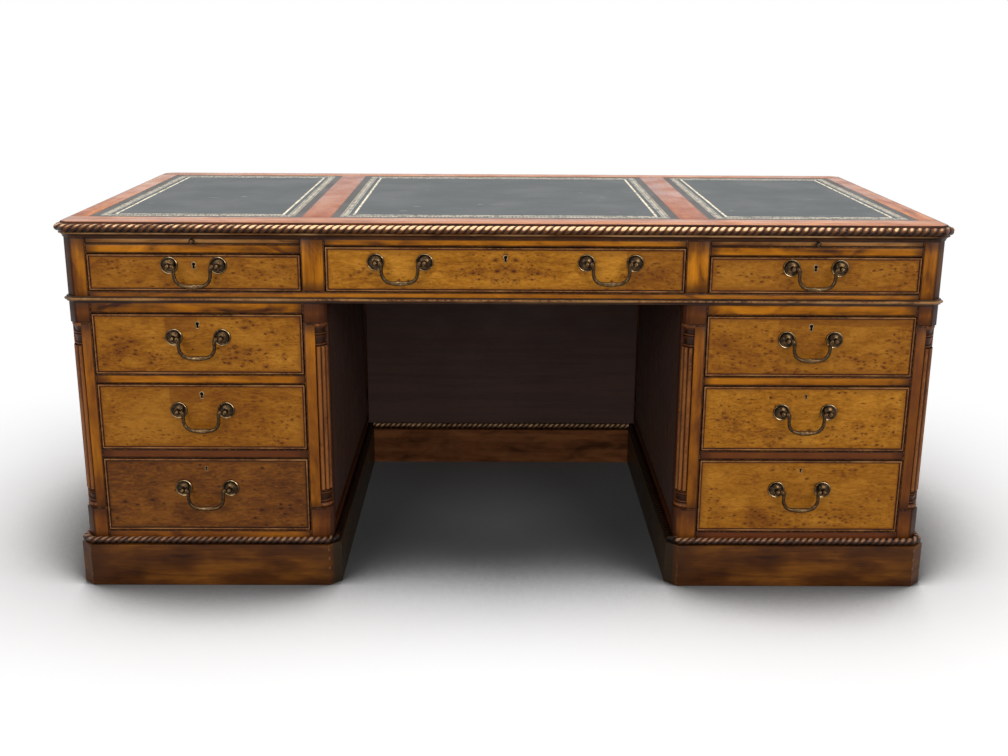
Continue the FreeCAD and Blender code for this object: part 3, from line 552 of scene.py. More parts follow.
def burr(name, dark, mid, light, pip, gloss=0.34, pips=1.0):
    """Pippy burr veneer: a soft wandering figure, and pips where the attribute "crowd" is high."""
    paint = Paint(name)
    where = paint.vector("grain")
    warped = where + (where.noise(22, out="Color") - (0.5, 0.5, 0.5)) * (0.022, 0.012, 0.012)
    cloud = warped.noise((7, 11, 11), detail=4, distortion=0.8)
    curl = warped.noise((26, 95, 95), detail=4, rough=0.62, distortion=1.6)
    fleck = where.noise((120, 330, 330), rough=0.65)
    fine = where.noise((90, 600, 600), detail=2)
    mixed = cloud * 0.45 + curl * 0.35 + fleck * 0.2
    colour = mixed.ramp((0.36, dark), (0.48, mid), (0.62, light))
    thick = paint.value("crowd") * where.noise((13, 19, 19), detail=1).step(0.3, 0.6, 0.5, 1.1)
    crowd = thick * (0.85 * pips) + 0.035
    flat = warped * (0.55, 1, 1)
    marks = spots(flat, 165, 0.46, crowd).maximum(spots(flat, 92, 0.36, crowd))
    halos = spots(flat, 165, 0.95, crowd).maximum(spots(flat, 92, 0.8, crowd))
    small = spots(flat, 330, 0.5, crowd) * 0.75
    stain = thick.step(0.35, 1.0) * curl.step(0.4, 0.6)
    colour = paint.blend(stain * (0.5 * pips), colour, dark)
    colour = paint.blend(halos * 0.5, colour, dark)
    colour = paint.blend(marks.maximum(small) * 0.9, colour, pip)

    across, _, up = paint.vector("local").parts()
    start, end, height = paint.vector("mend").parts()
    ragged = (cloud - 0.5) * 0.03
    let_in = (across > start) * (across < end) * (up + ragged > height)
    colour = paint.blend(let_in * 0.45, colour, dark)

    far = paint.far()
    border = far[0].minimum(far[2])
    reach = cloud.step(0.4, 0.68, 1 * MM, 22 * MM)
    colour = paint.blend(border.step(reach, 0.0) * 0.5, colour, dark)
    # Painted shade: a dark line along the face's edge, in the gap inside the cock bead.
    colour = paint.blend(border.step(2.2 * MM, 0.6 * MM, 0.0, 0.9), colour, pip)
    colour = paint.blend(paint.value("tone") * 0.6, colour, dark)
    rough = curl.step(0.3, 0.7, gloss - 0.04, gloss + 0.08)
    normal = (fine * 0.4 - marks).bump(0.12, 0.5 * MM)
    return paint.finish(colour, rough, normal, Specular_IOR_Level=0.12)


def carved_rope(name, groove, body, crest, knee_shading=0.0, middle=0.0):
    """Carved strands: painted shade, near black, in the grooves, and a painted highlight on the crests.

    knee_shading paints shade on them in the kneehole, and middle paints a highlight towards the
    middle of the desk and shade towards its ends.
    """
    paint = Paint(name)
    where = paint.place()
    height = paint.value("crest")
    worn = where.noise(60, detail=4)
    across = abs(where.parts()[0])
    # Painted shade in the kneehole, then a painted highlight in the middle and painted shade at the ends.
    level = height + (worn - 0.5) * 0.55 - across.step(KNEE_X + 6 * MM, KNEE_X, 0.0, knee_shading)
    level = height * across.step(0.8, 0.25, -0.5 * middle, middle) + level
    colour = level.ramp((0.46, groove), (0.82, body), (1.0, crest))
    rough = worn.step(0.3, 0.7, 0.3, 0.5)
    return paint.finish(colour, rough, where.noise(420).bump(0.15, 0.4 * MM), Specular_IOR_Level=0.15)


# The gilt bands' places, measured in from the edge of the leather, and their soft edges.
ROLL_OUT = 17.5 * MM
ROLL_IN = 32 * MM
FILLET_OUT = 41 * MM
FILLET_IN = 46 * MM
RULE = 1.6 * MM
PETAL_INSET = 2.8 * MM
SOFT = 0.4 * MM
# The rolled pattern's repeat along the band and its swing across it.
ROLL_REPEAT = 15 * MM
ROLL_SWING = 3 * MM


def hide(name, base, worn, gilt, margin, scuffed):
    """Dark hide with a brown margin and two gilt bands: a wide rolled pattern, then a narrow line."""
    paint = Paint(name)
    where = paint.vector("grain")
    far = paint.far()
    spot = paint.vector("local").parts()
    edge = far[0].minimum(far[1])
    beside = far[0] < far[1]
    turn = (spot[1] * beside + spot[0] * beside.inverse()) * (2 * math.pi / ROLL_REPEAT)

    def band(low, high, soft=SOFT):
        return edge.step(low - soft, low + soft) - edge.step(high - soft, high + soft)

    middle = turn.math("SINE") * ROLL_SWING + (ROLL_IN + ROLL_OUT) / 2
    vine = abs(edge - middle).step(2.2 * MM, 1.2 * MM) * band(ROLL_OUT, ROLL_IN)
    petal = abs(turn.math("COSINE")).step(0.72, 0.5) * band(ROLL_OUT + PETAL_INSET, ROLL_IN - PETAL_INSET)
    rules = band(ROLL_OUT, ROLL_OUT + RULE, SOFT / 2) + band(ROLL_IN - RULE, ROLL_IN, SOFT / 2)
    roll = (vine + petal).math("ADD", rules, use_clamp=True) * 0.72
    rubbed = where.noise(110, detail=4).step(0.38, 0.54, 0.25, 1.0)
    gold = roll.maximum(band(FILLET_OUT, FILLET_IN)).math("MULTIPLY", rubbed, use_clamp=True)

    cloud = where.noise(7, detail=4)
    colour = paint.blend(cloud.step(0.35, 0.7, 0.0, 0.5), base, worn)
    colour = paint.blend(edge.step(ROLL_IN, ROLL_OUT, 0.0, 0.8), colour, margin)
    stroke = where.noise((14, 95, 1), detail=2, distortion=0.6)
    scuffs = stroke.step(0.69, 0.72) * where.noise(9).step(0.5, 0.6)
    colour = paint.blend(scuffs * 0.6, colour, scuffed)
    colour = paint.blend(gold, colour, gilt)
    normal = (where.cells(900, feature="SMOOTH_F1") * 0.5 - gold).bump(0.25, 0.3 * MM)
    return paint.finish(colour, cloud.step(0.3, 0.7, 0.42, 0.52), normal, Specular_IOR_Level=0.42)


def old_brass(name, deep, middle, rubbed):
    """Antiqued brass: nearly black in the hollows, bright where hands and cloths reach and where a highlight
    is painted.
    """
    paint = Paint(name)
    where = paint.place()
    level = (where.noise(170, detail=4) - 0.5) * 0.7 + paint.value("rub")
    colour = level.ramp((0.05, deep), (0.4, middle), (0.95, rubbed))
    rough = level.step(0.0, 1.0, 0.26, 0.16)
    return paint.finish(colour, rough, where.noise(900).bump(0.1, 0.2 * MM), Metallic=0.95)


def plain_steel(name, dark, light):
    paint = Paint(name)
    cloud = paint.place().noise(300)
    return paint.finish(cloud.ramp((0.3, dark), (0.7, light)), cloud.step(0.3, 0.7, 0.3, 0.45), Metallic=1.0)


def dark_hole(name, dark, light):
    """The inside of a keyhole: painted shade, near black with faint noise."""
    paint = Paint(name)
    colour = paint.place().noise(500).ramp((0.3, dark), (0.7, light))
    return paint.finish(colour, 0.9, Specular_IOR_Level=0.02)


def worn_plinth(name, dark, mid, light, mitred, chipped, knee_shade_tint):
    """Dark mahogany with golden middles, pale chips along the mitres, and painted shade with an olive floor
    reflection in the kneehole.
    """
    paint = Paint(name)
    where = paint.vector("grain")
    streak = where.noise((4, 40, 40), detail=4, distortion=0.6)
    cloud = where.noise((7, 9, 14))
    colour = (streak * 0.4 + cloud * 0.6).ramp((0.36, dark), (0.5, mid), (0.66, light))
    mitre = paint.value("corner")
    chips = mitre.step(2 * MM, 0.6 * MM) * where.noise(110, detail=4).step(0.54, 0.62)
    colour = paint.blend(mitre.step(70 * MM, 0.0, 0.0, 0.45), colour, mitred)
    colour = paint.blend(chips * 0.3, colour, chipped)
    # Painted shade and a painted floor reflection on the side that faces the kneehole.
    inside = abs(paint.place().parts()[0]).step(KNEE_X + 6 * MM, KNEE_X - 4 * MM)
    colour = paint.blend(inside * 0.9, colour, knee_shade_tint)
    return polished(paint, where, colour, cloud.step(0.3, 0.7, 0.34, 0.5), (0.55, 0.75), 0.12)


UMBER = (58, 26, 8)
RUSSET = (92, 46, 20)
HONEY = (132, 76, 23)
PALE_HONEY = (160, 98, 33)
# Near black: grime in joints, and painted shade in gaps and on the cut corners.
GRIME_AND_SHADE = (30, 8, 2)
GOLDEN = wood("golden_mahogany_polish", UMBER, (156, 92, 10), (200, 124, 22), RUSSET, aged=0.5, wear_and_highlight=0.3,
              knee_shades=((62, 36, 22), UMBER))
SLIDE_WOOD = wood("writing_slide_polish", UMBER, (138, 91, 43), (172, 122, 68), RUSSET, aged=0.4, fine=1.6)
SIDE_WOOD = wood("side_panel_polish", UMBER, HONEY, PALE_HONEY, UMBER, "node", "z", aged=0.35, gloss=0.42,
                 knee_shades=((60, 44, 38), (68, 46, 38)), fine=1.5)
TOP_WOOD = wood("red_mahogany_polish", (110, 46, 19), (164, 92, 48), (198, 128, 75), (138, 66, 34),
                aged=0.4, ends=0.3, gloss=0.3, specular=0.35)
KNEE_WOOD = wood("kneehole_polish", UMBER, HONEY, PALE_HONEY, UMBER, "node", "x", aged=0.35, gloss=0.5,
                 knee_shades=((82, 63, 57), (88, 66, 58)), fine=1.5)
MODESTY_FOOT_WOOD = wood("kneehole_plinth_polish", (66, 37, 21), (116, 69, 39), (148, 93, 54), UMBER,
                         "node", "x", aged=0.5, gloss=0.3)
REED_WOOD = wood("column_polish", (38, 18, 9), (108, 60, 24), (144, 88, 40), (80, 42, 22), "turned",
                 aged=0.4, wear_and_highlight=0.7, specular=0.15)
# Near black: painted shade of the groove between the top and its rope.
SHADED_EDGE_WOOD = wood("edge_band_shaded_polish", (18, 5, 2), (38, 14, 6), (110, 62, 34), UMBER, "moulding", wear_and_highlight=0.25)
COVE_WOOD = wood("cove_polish", (18, 7, 3), (40, 19, 8), (74, 42, 18), UMBER, "moulding")
WAIST_WOOD = wood("waist_polish", (26, 10, 4), (90, 52, 20), (160, 116, 66), (70, 34, 12), "moulding",
                  wear_and_highlight=0.6, specular=0.2)
FILLET_WOOD = wood("fillet_polish", (48, 22, 8), (110, 72, 38), (176, 136, 92), (80, 44, 20), "moulding")
BEAD_WOOD = wood("cock_bead_polish", (24, 9, 3), (104, 61, 25), (164, 116, 68), (82, 42, 17), "moulding",
                 wear_and_highlight=0.5, specular=0.2)
OAK = wood("drawer_lining_oak", (120, 84, 44), (168, 128, 78), (196, 158, 106), UMBER, "node", "y",
           aged=0.4, gloss=0.6, fine=2.6)
PLINTH_WOOD = worn_plinth("worn_plinth_polish", (46, 22, 10), (80, 44, 14), (124, 74, 22), (48, 26, 14),
                          (160, 126, 92), (42, 34, 24))
BURR = burr("golden_burr_polish", (104, 54, 12), (154, 97, 20), (192, 130, 42), (62, 22, 8))
DARK_BURR = burr("walnut_burr_polish", (62, 30, 10), (97, 54, 17), (132, 80, 26), (40, 18, 8), pips=0.5)
TOP_ROPE = carved_rope("gilded_rope", (26, 9, 3), (110, 66, 33), (244, 202, 156), middle=0.16)
FOOT_ROPE = carved_rope("dark_rope", (16, 7, 3), (72, 41, 24), (142, 104, 76), knee_shading=0.4)
BACK_ROPE = carved_rope("kneehole_rope_polish", (24, 10, 4), (124, 84, 50), (236, 194, 150))
LEATHER = hide("green_black_hide", (32, 40, 42), (52, 60, 62), (240, 226, 198), (46, 38, 32), (180, 180, 168))
BRASS = old_brass("antiqued_brass", (38, 29, 21), (94, 72, 46), (214, 186, 142))
STEEL = plain_steel("screw_steel", (95, 92, 88), (150, 147, 142))
HOLE = dark_hole("keyhole_dark", (8, 4, 2), (24, 12, 6))


# Top -----------------------------------------------------------------------------------------

def top_plan(grow):
    return octagon(TOP_HIGH.x, TOP_HIGH.y, TOP_CUT, grow)


def case_plan(grow):
    return octagon(CASE_X, CASE_Y, CORNER_CUT, grow)


def pedestal_plan(side):
    """The plan of one pedestal, as a function of how far it is grown."""
    half_x = (CASE_X - KNEE_X) / 2
    return lambda grow: octagon(half_x, CASE_Y, CORNER_CUT, grow, side * (CASE_X + KNEE_X) / 2)


def leather_bays():
    """The spans in X of the three leather panels, left to right."""
    rail = CROSS_RAIL / 2
    stile = (KNEE_X + BAY_IN) / 2
    outer = LEATHER_HIGH.x
    return {
        "left": (-outer, -stile - rail),
        "centre": (rail - stile, stile - rail),
        "right": (stile + rail, outer),
    }


EDGE_BAND = 1.5 * MM


def top_frame():
    """Borders and cross rails of the top, with a rounded edge band around them."""
    shape = Shape()
    front, back = LEATHER_LOW.y, LEATHER_HIGH.y
    z = (TOP_UNDER, TOP_HIGH.z)
    outer = top_plan(-EDGE_BAND)
    prism(shape, [*outer[:3], (outer[2][0], front), (outer[7][0], front), outer[7]], z, "x")
    prism(shape, [(outer[3][0], back), *outer[3:7], (outer[6][0], back)], z, "x")
    bays = leather_bays()
    for sign in SIDES.values():
        board(shape, span(sign, LEATHER_HIGH.x, outer[2][0]), (front, back), z, "y")
        rail = (bays["left"][1], bays["centre"][0]) if sign < 0 else (bays["centre"][1], bays["right"][0])
        board(shape, rail, (front, back), z, "y", tone=0.6)
    for bay in bays.values():
        board(shape, bay, (front, back), (TOP_UNDER, LEATHER_LOW.z), "x")
    shape.build("top_frame", "root", "mahogany", TOP_WOOD, ["top_boards"])
    edge = Shape()
    curve = [(-EDGE_BAND, z[0]), (0, z[0])] + arc((-EDGE_BAND, z[1] - EDGE_BAND), EDGE_BAND, 0, 90, 4)
    # Painted highlight growing towards the top of the rounded edge.
    swept(edge, curve, top_plan, tone=0.4, crest=[0.6, 0.7, 0.7, 0.8, 1.0, 1.0, 0.9])
    edge.build("top_edge_band", "root", "mahogany", SHADED_EDGE_WOOD)


LEATHER_GRID = 20 * MM
LEATHER_RISE = 0.15 * MM


def leather_panels():
    """Three skivers, each a fine grid that rises and falls a little."""
    deep = LEATHER_HIGH.y - LEATHER_LOW.y
    rows = round(deep / LEATHER_GRID)
    for name, (left, right) in leather_bays().items():
        columns = round((right - left) / LEATHER_GRID)
        points = []
        for row in range(rows + 1):
            for column in range(columns + 1):
                x = left + (right - left) * column / columns
                y = LEATHER_LOW.y + deep * row / rows
                swell = math.sin(x * 31) * math.sin(y * 23 + x * 7)
                points.append((x, y, LEATHER_HIGH.z - LEATHER_RISE + LEATHER_RISE * swell))
        shape = Shape()
        shape.add(points, grid_faces(rows + 1, columns + 1, False), **grain_values(points, "x", 0))
        nodes = ["leather_skivers"] if name == "centre" else []
        shape.build(f"leather_{name}", "root", "leather", LEATHER, nodes)


TOP_STRAND = 15.3 * MM
FOOT_STRAND = 14.2 * MM
ROPE_AROUND = 16
ROPE_ALONG = 12
ROPE_TWIST = 1.25
ROPE_DEPTH = 2.6 * MM
STRAND_FULLNESS = 0.42
# How much of a strand's brightness its underside keeps, where shade is painted.
UNDERSIDE_SHADE = 0.6


def rope(shape, plan_at, box, reach, strand):
    """Twisted strands on a round nose around a plan, as high as a box and as far out as reach.

    "crest" is 0 in a groove and 1 on a strand's upper half. It carries painted shade: the grooves and the
    underside are darker, as under light from above.
    """
    radius = (box[1].z - box[0].z) / 2
    centre_out, centre_z = reach - radius, box[0].z + radius
    corners = plan_at(0)
    count = len(corners)
    runs = [math.dist(corners[i], corners[(i + 1) % count]) for i in range(count)]
    pitch = sum(runs) / round(sum(runs) / strand)
    behind = math.acos(max(-1.0, -centre_out / radius))
    angles = [behind * (2 * step / ROPE_AROUND - 1) for step in range(ROPE_AROUND + 1)]
    points, crests = [], []
    travelled = 0.0
    for index, run in enumerate(runs):
        stations = max(2, round(run / pitch * ROPE_ALONG))
        for share in (station / stations for station in range(stations)):
            for angle in angles:
                turns = (travelled + share * run) / pitch - ROPE_TWIST * angle / math.pi
                across = 2 * (turns % 1.0) - 1
                crest = max(0.0, 1 - across * across) ** STRAND_FULLNESS
                here = radius - ROPE_DEPTH * (1 - crest)
                ring = plan_at(max(0.0, centre_out + here * math.cos(angle)))
                (ax, ay), (bx, by) = ring[index], ring[(index + 1) % count]
                z = centre_z + here * math.sin(angle)
                points.append((ax + (bx - ax) * share, ay + (by - ay) * share, z))
                # Painted shade: strands grow darker from their upper half to their underside.
                rubbed = min(1.0, max(0.0, 0.25 + 1.3 * math.sin(angle)))
                crests.append(crest * (UNDERSIDE_SHADE + (1 - UNDERSIDE_SHADE) * rubbed))
        travelled += run
    rows = len(points) // (ROPE_AROUND + 1)
    faces = [face[::-1] for face in grid_faces(rows, ROPE_AROUND + 1, True)]
    shape.add(points, faces, crest=crests)


def rope_mouldings():
    shape = Shape()
    rope(shape, top_plan, TOP_ROPE_BOX, TOP_ROPE_BOX[1].x - TOP_HIGH.x, TOP_STRAND)
    shape.build("top_rope", "root", "carved_rope", TOP_ROPE, ["top_rope_moulding"], smooth=60)
    shape = Shape()
    reach = FOOT_ROPE_BOX[1].x - CASE_X
    for side in SIDES.values():
        rope(shape, pedestal_plan(side), FOOT_ROPE_BOX, reach, FOOT_STRAND)
    shape.build("plinth_rope", "root", "carved_rope", FOOT_ROPE, ["plinth_rope_moulding"], smooth=60)
    length = KNEE_X - reach

    def back_strip(out):
        face = MODESTY_Y - out
        return [(-length, face), (length, face), (length, MODESTY_Y), (-length, MODESTY_Y)]

    back = Shape()
    rope(back, back_strip, FOOT_ROPE_BOX, reach, FOOT_STRAND)
    back.build("kneehole_rope", "root", "carved_rope", BACK_ROPE, smooth=60)


COVE_LIP = 4 * MM
COVE_START = 1.5 * MM
FILLET_RADIUS = 2 * MM
WAIST_STEP = 3.5 * MM
WAIST_LEDGE = 2.5 * MM


def cove_and_waist():
    """The cove under the top with its small fillet, and the half-round waist moulding."""
    lip = TOP_UNDER - COVE_LIP
    reach = COVE_HIGH.x - CASE_X
    quarter = [polar(1, angle) for angle in range(0, 90, 15)]
    hollow = [(reach - (reach - COVE_START) * px, FRIEZE_TOP + (lip - FRIEZE_TOP) * pz) for px, pz in quarter]
    shape = Shape()
    swept(shape, [(0, FRIEZE_TOP), *hollow, (reach - 1 * MM, lip)], case_plan, tone=0.2)
    shape.build("cove_moulding", "root", "dark_mahogany", COVE_WOOD, ["top_cove_moulding"])
    fillet = Shape()
    nose = arc((reach - FILLET_RADIUS, (lip + TOP_UNDER) / 2), FILLET_RADIUS, -90, 90, 6)
    # Painted light: the fillet brightens from its underside to its top.
    crest = [0, *(0.4 + 0.1 * index for index in range(7)), 0]
    swept(fillet, [(0, lip), *nose, (0, TOP_UNDER)], case_plan, crest=crest)
    fillet.build("cove_fillet", "root", "golden_mahogany", FILLET_WOOD)
    waist = Shape()
    low, high = WAIST_LOW.z, WAIST_HIGH.z
    half = (high - low) / 2 - WAIST_LEDGE
    nose = arc((WAIST_HIGH.x - CASE_X - half, (low + high) / 2), half, -90, 90, 8)
    under = [(0, low), (WAIST_STEP, low), (WAIST_STEP, low + WAIST_LEDGE)]
    over = [(WAIST_STEP, high - WAIST_LEDGE), (WAIST_STEP, high), (0, high)]
    # Painted shade in the grooves beside the bead and a painted highlight on its upper nose.
    crest = [0.1, 0.3, 0, 0, 0.2, 0.4, 0.6, 0.9, 1.0, 1.0, 0.8, 0.3, 0, 0.3, 0.1]
    swept(waist, under + nose + over, case_plan, crest=crest)
    waist.build("waist_bead", "root", "dark_mahogany", WAIST_WOOD, ["waist_moulding"])


# Frieze and pedestals ------------------------------------------------------------------------

def corner_plan(x, y, width, side, end, notch=0.0):
    """Plan of a corner post with its outer corner at (x, y) cut off, or notched for a column."""
    if notch:
        cut = [(0, -notch), (-notch, -notch), (-notch, 0)]
    else:
        cut = [(0, -CORNER_CUT), (-CORNER_CUT, 0)]
    plan = [(x + side * px, y + end * py) for px, py in [(-width, -width), (0, -width), *cut, (-width, 0)]]
    return plan if side * end > 0 else plan[::-1]


def face_span(end):
    """The span in Y of the rails in the front (-1) or the back (1)."""
    return (CASE_FRONT, CASE_FRONT + RAIL) if end < 0 else (CASE_Y - RAIL, CASE_Y)


def frieze_boards():
    """Posts, stiles and rails of the frieze, and the flat frame on top of it."""
    shape = Shape()
    side_open = OPENINGS["drawer_frieze_right"]
    slot_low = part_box("right_writing_slide")[0].z - SLOT_GAP
    low_rail = (PEDESTAL_TOP, side_open.low)
    top_rail = (OPENINGS["drawer_frieze_centre"].high, FRIEZE_TOP)
    for end in (-1, 1):
        y = face_span(end)
        board(shape, (-BAY_OUT, BAY_OUT), y, low_rail, tone=0.35)
        board(shape, (-KNEE_X, KNEE_X), y, top_rail, tone=0.1)
        for side in SIDES.values():
            post = corner_plan(side * CASE_X, end * CASE_Y, POST, side, end)
            prism(shape, post, (PEDESTAL_TOP, FRIEZE_TOP), tone=0.35)
            board(shape, span(side, KNEE_X, BAY_IN), y, (side_open.low, FRIEZE_TOP), "z")
            level = (side_open.high, slot_low) if end < 0 else top_rail
            board(shape, span(side, BAY_IN, BAY_OUT), y, level)
    rail_y = (POST - CASE_Y, CASE_Y - POST)
    over = (FRIEZE_TOP, TOP_UNDER)
    for side in SIDES.values():
        x = span(side, CASE_X - RAIL, CASE_X)
        board(shape, x, rail_y, low_rail, "y", tone=0.3)
        board(shape, x, rail_y, top_rail, "y", tone=0.3)
        board(shape, span(side, CASE_X - SUBFRAME, CASE_X - RAIL), rail_y, over, "y")
        board(shape, span(side, KNEE_X, BAY_IN), rail_y, over, "y")
    for end in (-1, 1):
        y = sorted((end * (CASE_Y - SUBFRAME_INSET), end * (CASE_Y - SUBFRAME)))
        board(shape, (-BAY_OUT, BAY_OUT), y, over)
    shape.build("frieze_boards", "root", "golden_mahogany", GOLDEN, ["frieze_frame"])


def case_boards(name, side):
    """One pedestal's niched corner posts and the rails between them on all four faces."""
    shape = Shape()
    upper, middle, lower = (OPENINGS[f"drawer_{name}_{level}"] for level in ("upper", "middle", "lower"))
    crown = (upper.high, PEDESTAL_TOP)
    foot = (PLINTH_TOP, lower.low)
    red = 0.55 if side < 0 else 0.75
    posts = ((side * CASE_X, side, POST, red), (side * KNEE_X, -side, INNER_POST, 0.5))
    for x, outward, width, tone in posts:
        for end in (-1, 1):
            corner = (x, end * CASE_Y, width, outward, end)
            whole = corner_plan(*corner)
            prism(shape, whole, (PLINTH_TOP, NICHE_LOW), tone=max(tone, 0.7))
            prism(shape, corner_plan(*corner, NICHE), (NICHE_LOW, NICHE_HIGH), tone=tone)
            prism(shape, whole, (NICHE_HIGH, PEDESTAL_TOP), tone=max(tone, 0.7))
        for z in (crown, foot):
            board(shape, sorted((x, x - outward * RAIL)), (width - CASE_Y, CASE_Y - width), z, "y", tone=0.4)
    bay = span(side, BAY_IN, BAY_OUT)
    rails = (
        (crown, 0.0), ((middle.high, upper.low), 0.25), ((lower.high, middle.low), 0.85),
        (foot, 0.6 if side < 0 else 0.95),
    )
    for z, tone in rails:
        board(shape, bay, face_span(-1), z, tone=tone)
    for z in (crown, foot):
        board(shape, bay, face_span(1), z, tone=0.4)
    shape.build(f"{name}_case_boards", "root", "golden_mahogany", GOLDEN, [f"{name}_pedestal_frame"])


# Turnings from the bottom up: each part's kind, its radii and its height in millimetres.
TURNING_STEPS = 6
FOOT_TURNING = (
    ("plain", 21, 21, 2), ("bead", 21, 24.6, 10), ("plain", 18.5, 18.5, 1.5), ("bead", 19, 23, 5),
    ("hollow", 18, 21, 12), ("plain", 18.5, 18.5, 2), ("bead", 20.5, 23.5, 3.5), ("plain", 18.5, 18.5, 1.5),
    ("bead", 20.5, 22.5, 3), ("plain", 19.5, 19.5, 2),
)
CAPITAL_TURNING = (
    ("plain", 19.5, 19.5, 2), ("bead", 20.5, 23.5, 4), ("plain", 18, 18, 2), ("hollow", 18.5, 22, 15),
    ("plain", 18.5, 18.5, 2), ("bead", 20, 23.5, 4), ("plain", 18, 18, 2), ("hollow", 18.5, 24.6, 13),
    ("plain", 24.6, 24.6, 5),
)
TURNING_CURVES = {
    "plain": lambda share: share,
    "bead": lambda share: math.sin(math.pi * share),
    "hollow": lambda share: 1 - math.cos(math.pi / 2 * share),
}


def turned_profile(turning, low):
    """Points (radius, height) up a turning that stands at a height."""
    points = []
    for kind, start, end, height in turning:
        for share in (index / TURNING_STEPS for index in range(TURNING_STEPS + 1)):
            radius = start + (end - start) * TURNING_CURVES[kind](share)
            points.append((radius * MM, low + height * share * MM))
        low += height * MM
    return points


REED_RING = 19.8 * MM
REED_RADIUS = 4.8 * MM
REED_POINTS = 9
REED_TONE = 0.1
TURNED_TONE = 0.75
TURNED_SEGMENTS = 14
# Radii at which a turning's painted shade is deepest, in a hollow, and its painted highlight brightest, on a
# crown.
HOLLOW = 18 * MM
CROWN = 24 * MM


def reed_section():
    """Plan of the shaft, (x, y) from its centre: reeds side by side over a quarter turn."""
    step = 2 * math.degrees(math.asin(REED_RADIUS / REED_RING))
    section = [Vector((REED_RING * 0.99, 0))]
    for middle in (45 - step, 45, 45 + step):
        centre = Vector(polar(REED_RING, middle))
        for index in range(REED_POINTS):
            section.append(centre + Vector(polar(REED_RADIUS, middle - 88 + 176 * index / (REED_POINTS - 1))))
    return section + [Vector((0, REED_RING * 0.99))]


def columns():
    """A reeded quarter column between turned ends in each corner niche."""
    foot, capital = (sum(part[3] for part in turning) * MM for turning in (FOOT_TURNING, CAPITAL_TURNING))
    low, high = NICHE_LOW + foot, NICHE_HIGH - capital
    section = reed_section()
    # Painted highlight on the reeds' crests and painted shade in the grooves between them.
    rise = [max(0.0, (point.length - REED_RING) / REED_RADIUS) for point in section for _ in range(2)]
    shape = Shape()
    corners = [(side * x, side * way, end) for side in SIDES.values()
               for x, way in ((CASE_X, 1), (KNEE_X, -1)) for end in (-1, 1)]
    for x, outward, end in corners:
        def place(px, py, z, x=x, outward=outward, end=end):
            return (x + outward * (px - NICHE), end * (CASE_Y - NICHE + py), z)

        own = Shape()
        for turning, base in ((FOOT_TURNING, NICHE_LOW), (CAPITAL_TURNING, high)):
            profile = turned_profile(turning, base)
            crest = [min(1.0, max(0.0, (radius - HOLLOW) / (CROWN - HOLLOW))) for radius, _ in profile]
            crest *= TURNED_SEGMENTS + 1
            lathe(own, profile, TURNED_SEGMENTS, place, (0, 90), crest=crest, tone=TURNED_TONE)
        shaft = [place(point.x, point.y, z) for point in section for z in (low, high)]
        own.add(shaft, grid_faces(len(section), 2, False), crest=rise, tone=REED_TONE)
        faces = own.faces if outward * end > 0 else [face[::-1] for face in own.faces]
        shape.add(own.points, faces, **{**grain_values(own.points, "z", 0), **own.values})
    shape.build("reeded_columns", "root", "dark_mahogany", REED_WOOD, ["corner_columns"])


PLINTH_EASE = 2 * MM
PLINTH_DEEP = 24 * MM


def plinths():
    """Plinth boards mitred around the foot of each pedestal, with worn arrises."""
    nose = PLINTH_REACH - PLINTH_EASE
    inner = PLINTH_REACH - PLINTH_DEEP
    profile = [(inner, 0)] + arc((nose, PLINTH_EASE), PLINTH_EASE, -90, 0, 3)
    profile += arc((nose, PLINTH_TOP - PLINTH_EASE), PLINTH_EASE, 0, 90, 4)
    profile += [(inner, PLINTH_TOP), (inner, 0)]
    for name, side in SIDES.items():
        shape = Shape()
        swept(shape, profile, pedestal_plan(side), tone=0.2)
        shape.build(f"{name}_plinth_boards", "root", "dark_mahogany", PLINTH_WOOD, [f"{name}_plinth"])


def inner_boards():
    """CAD nodes whose shape is kept: they only get their finish."""
    finishes = {
        "frieze_panels": SIDE_WOOD, "left_pedestal_panels": SIDE_WOOD, "right_pedestal_panels": SIDE_WOOD,
        "modesty_panel": KNEE_WOOD, "modesty_plinth": MODESTY_FOOT_WOOD, "drawer_runners": OAK,
        "fixing_screws": STEEL, **{f"{name}_box": OAK for name in DRAWERS},
    }
    for node, material in finishes.items():
        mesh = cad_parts[node].data
        mesh.materials.clear()
        mesh.materials.append(material)


# Drawers -------------------------------------------------------------------------------------

BEAD = 3.4 * MM
BEAD_PROUD = 2.5 * MM
FACE_GAP = 0.8 * MM
VENEER_GRID = 9 * MM
MOST_CROWDED = 1.3
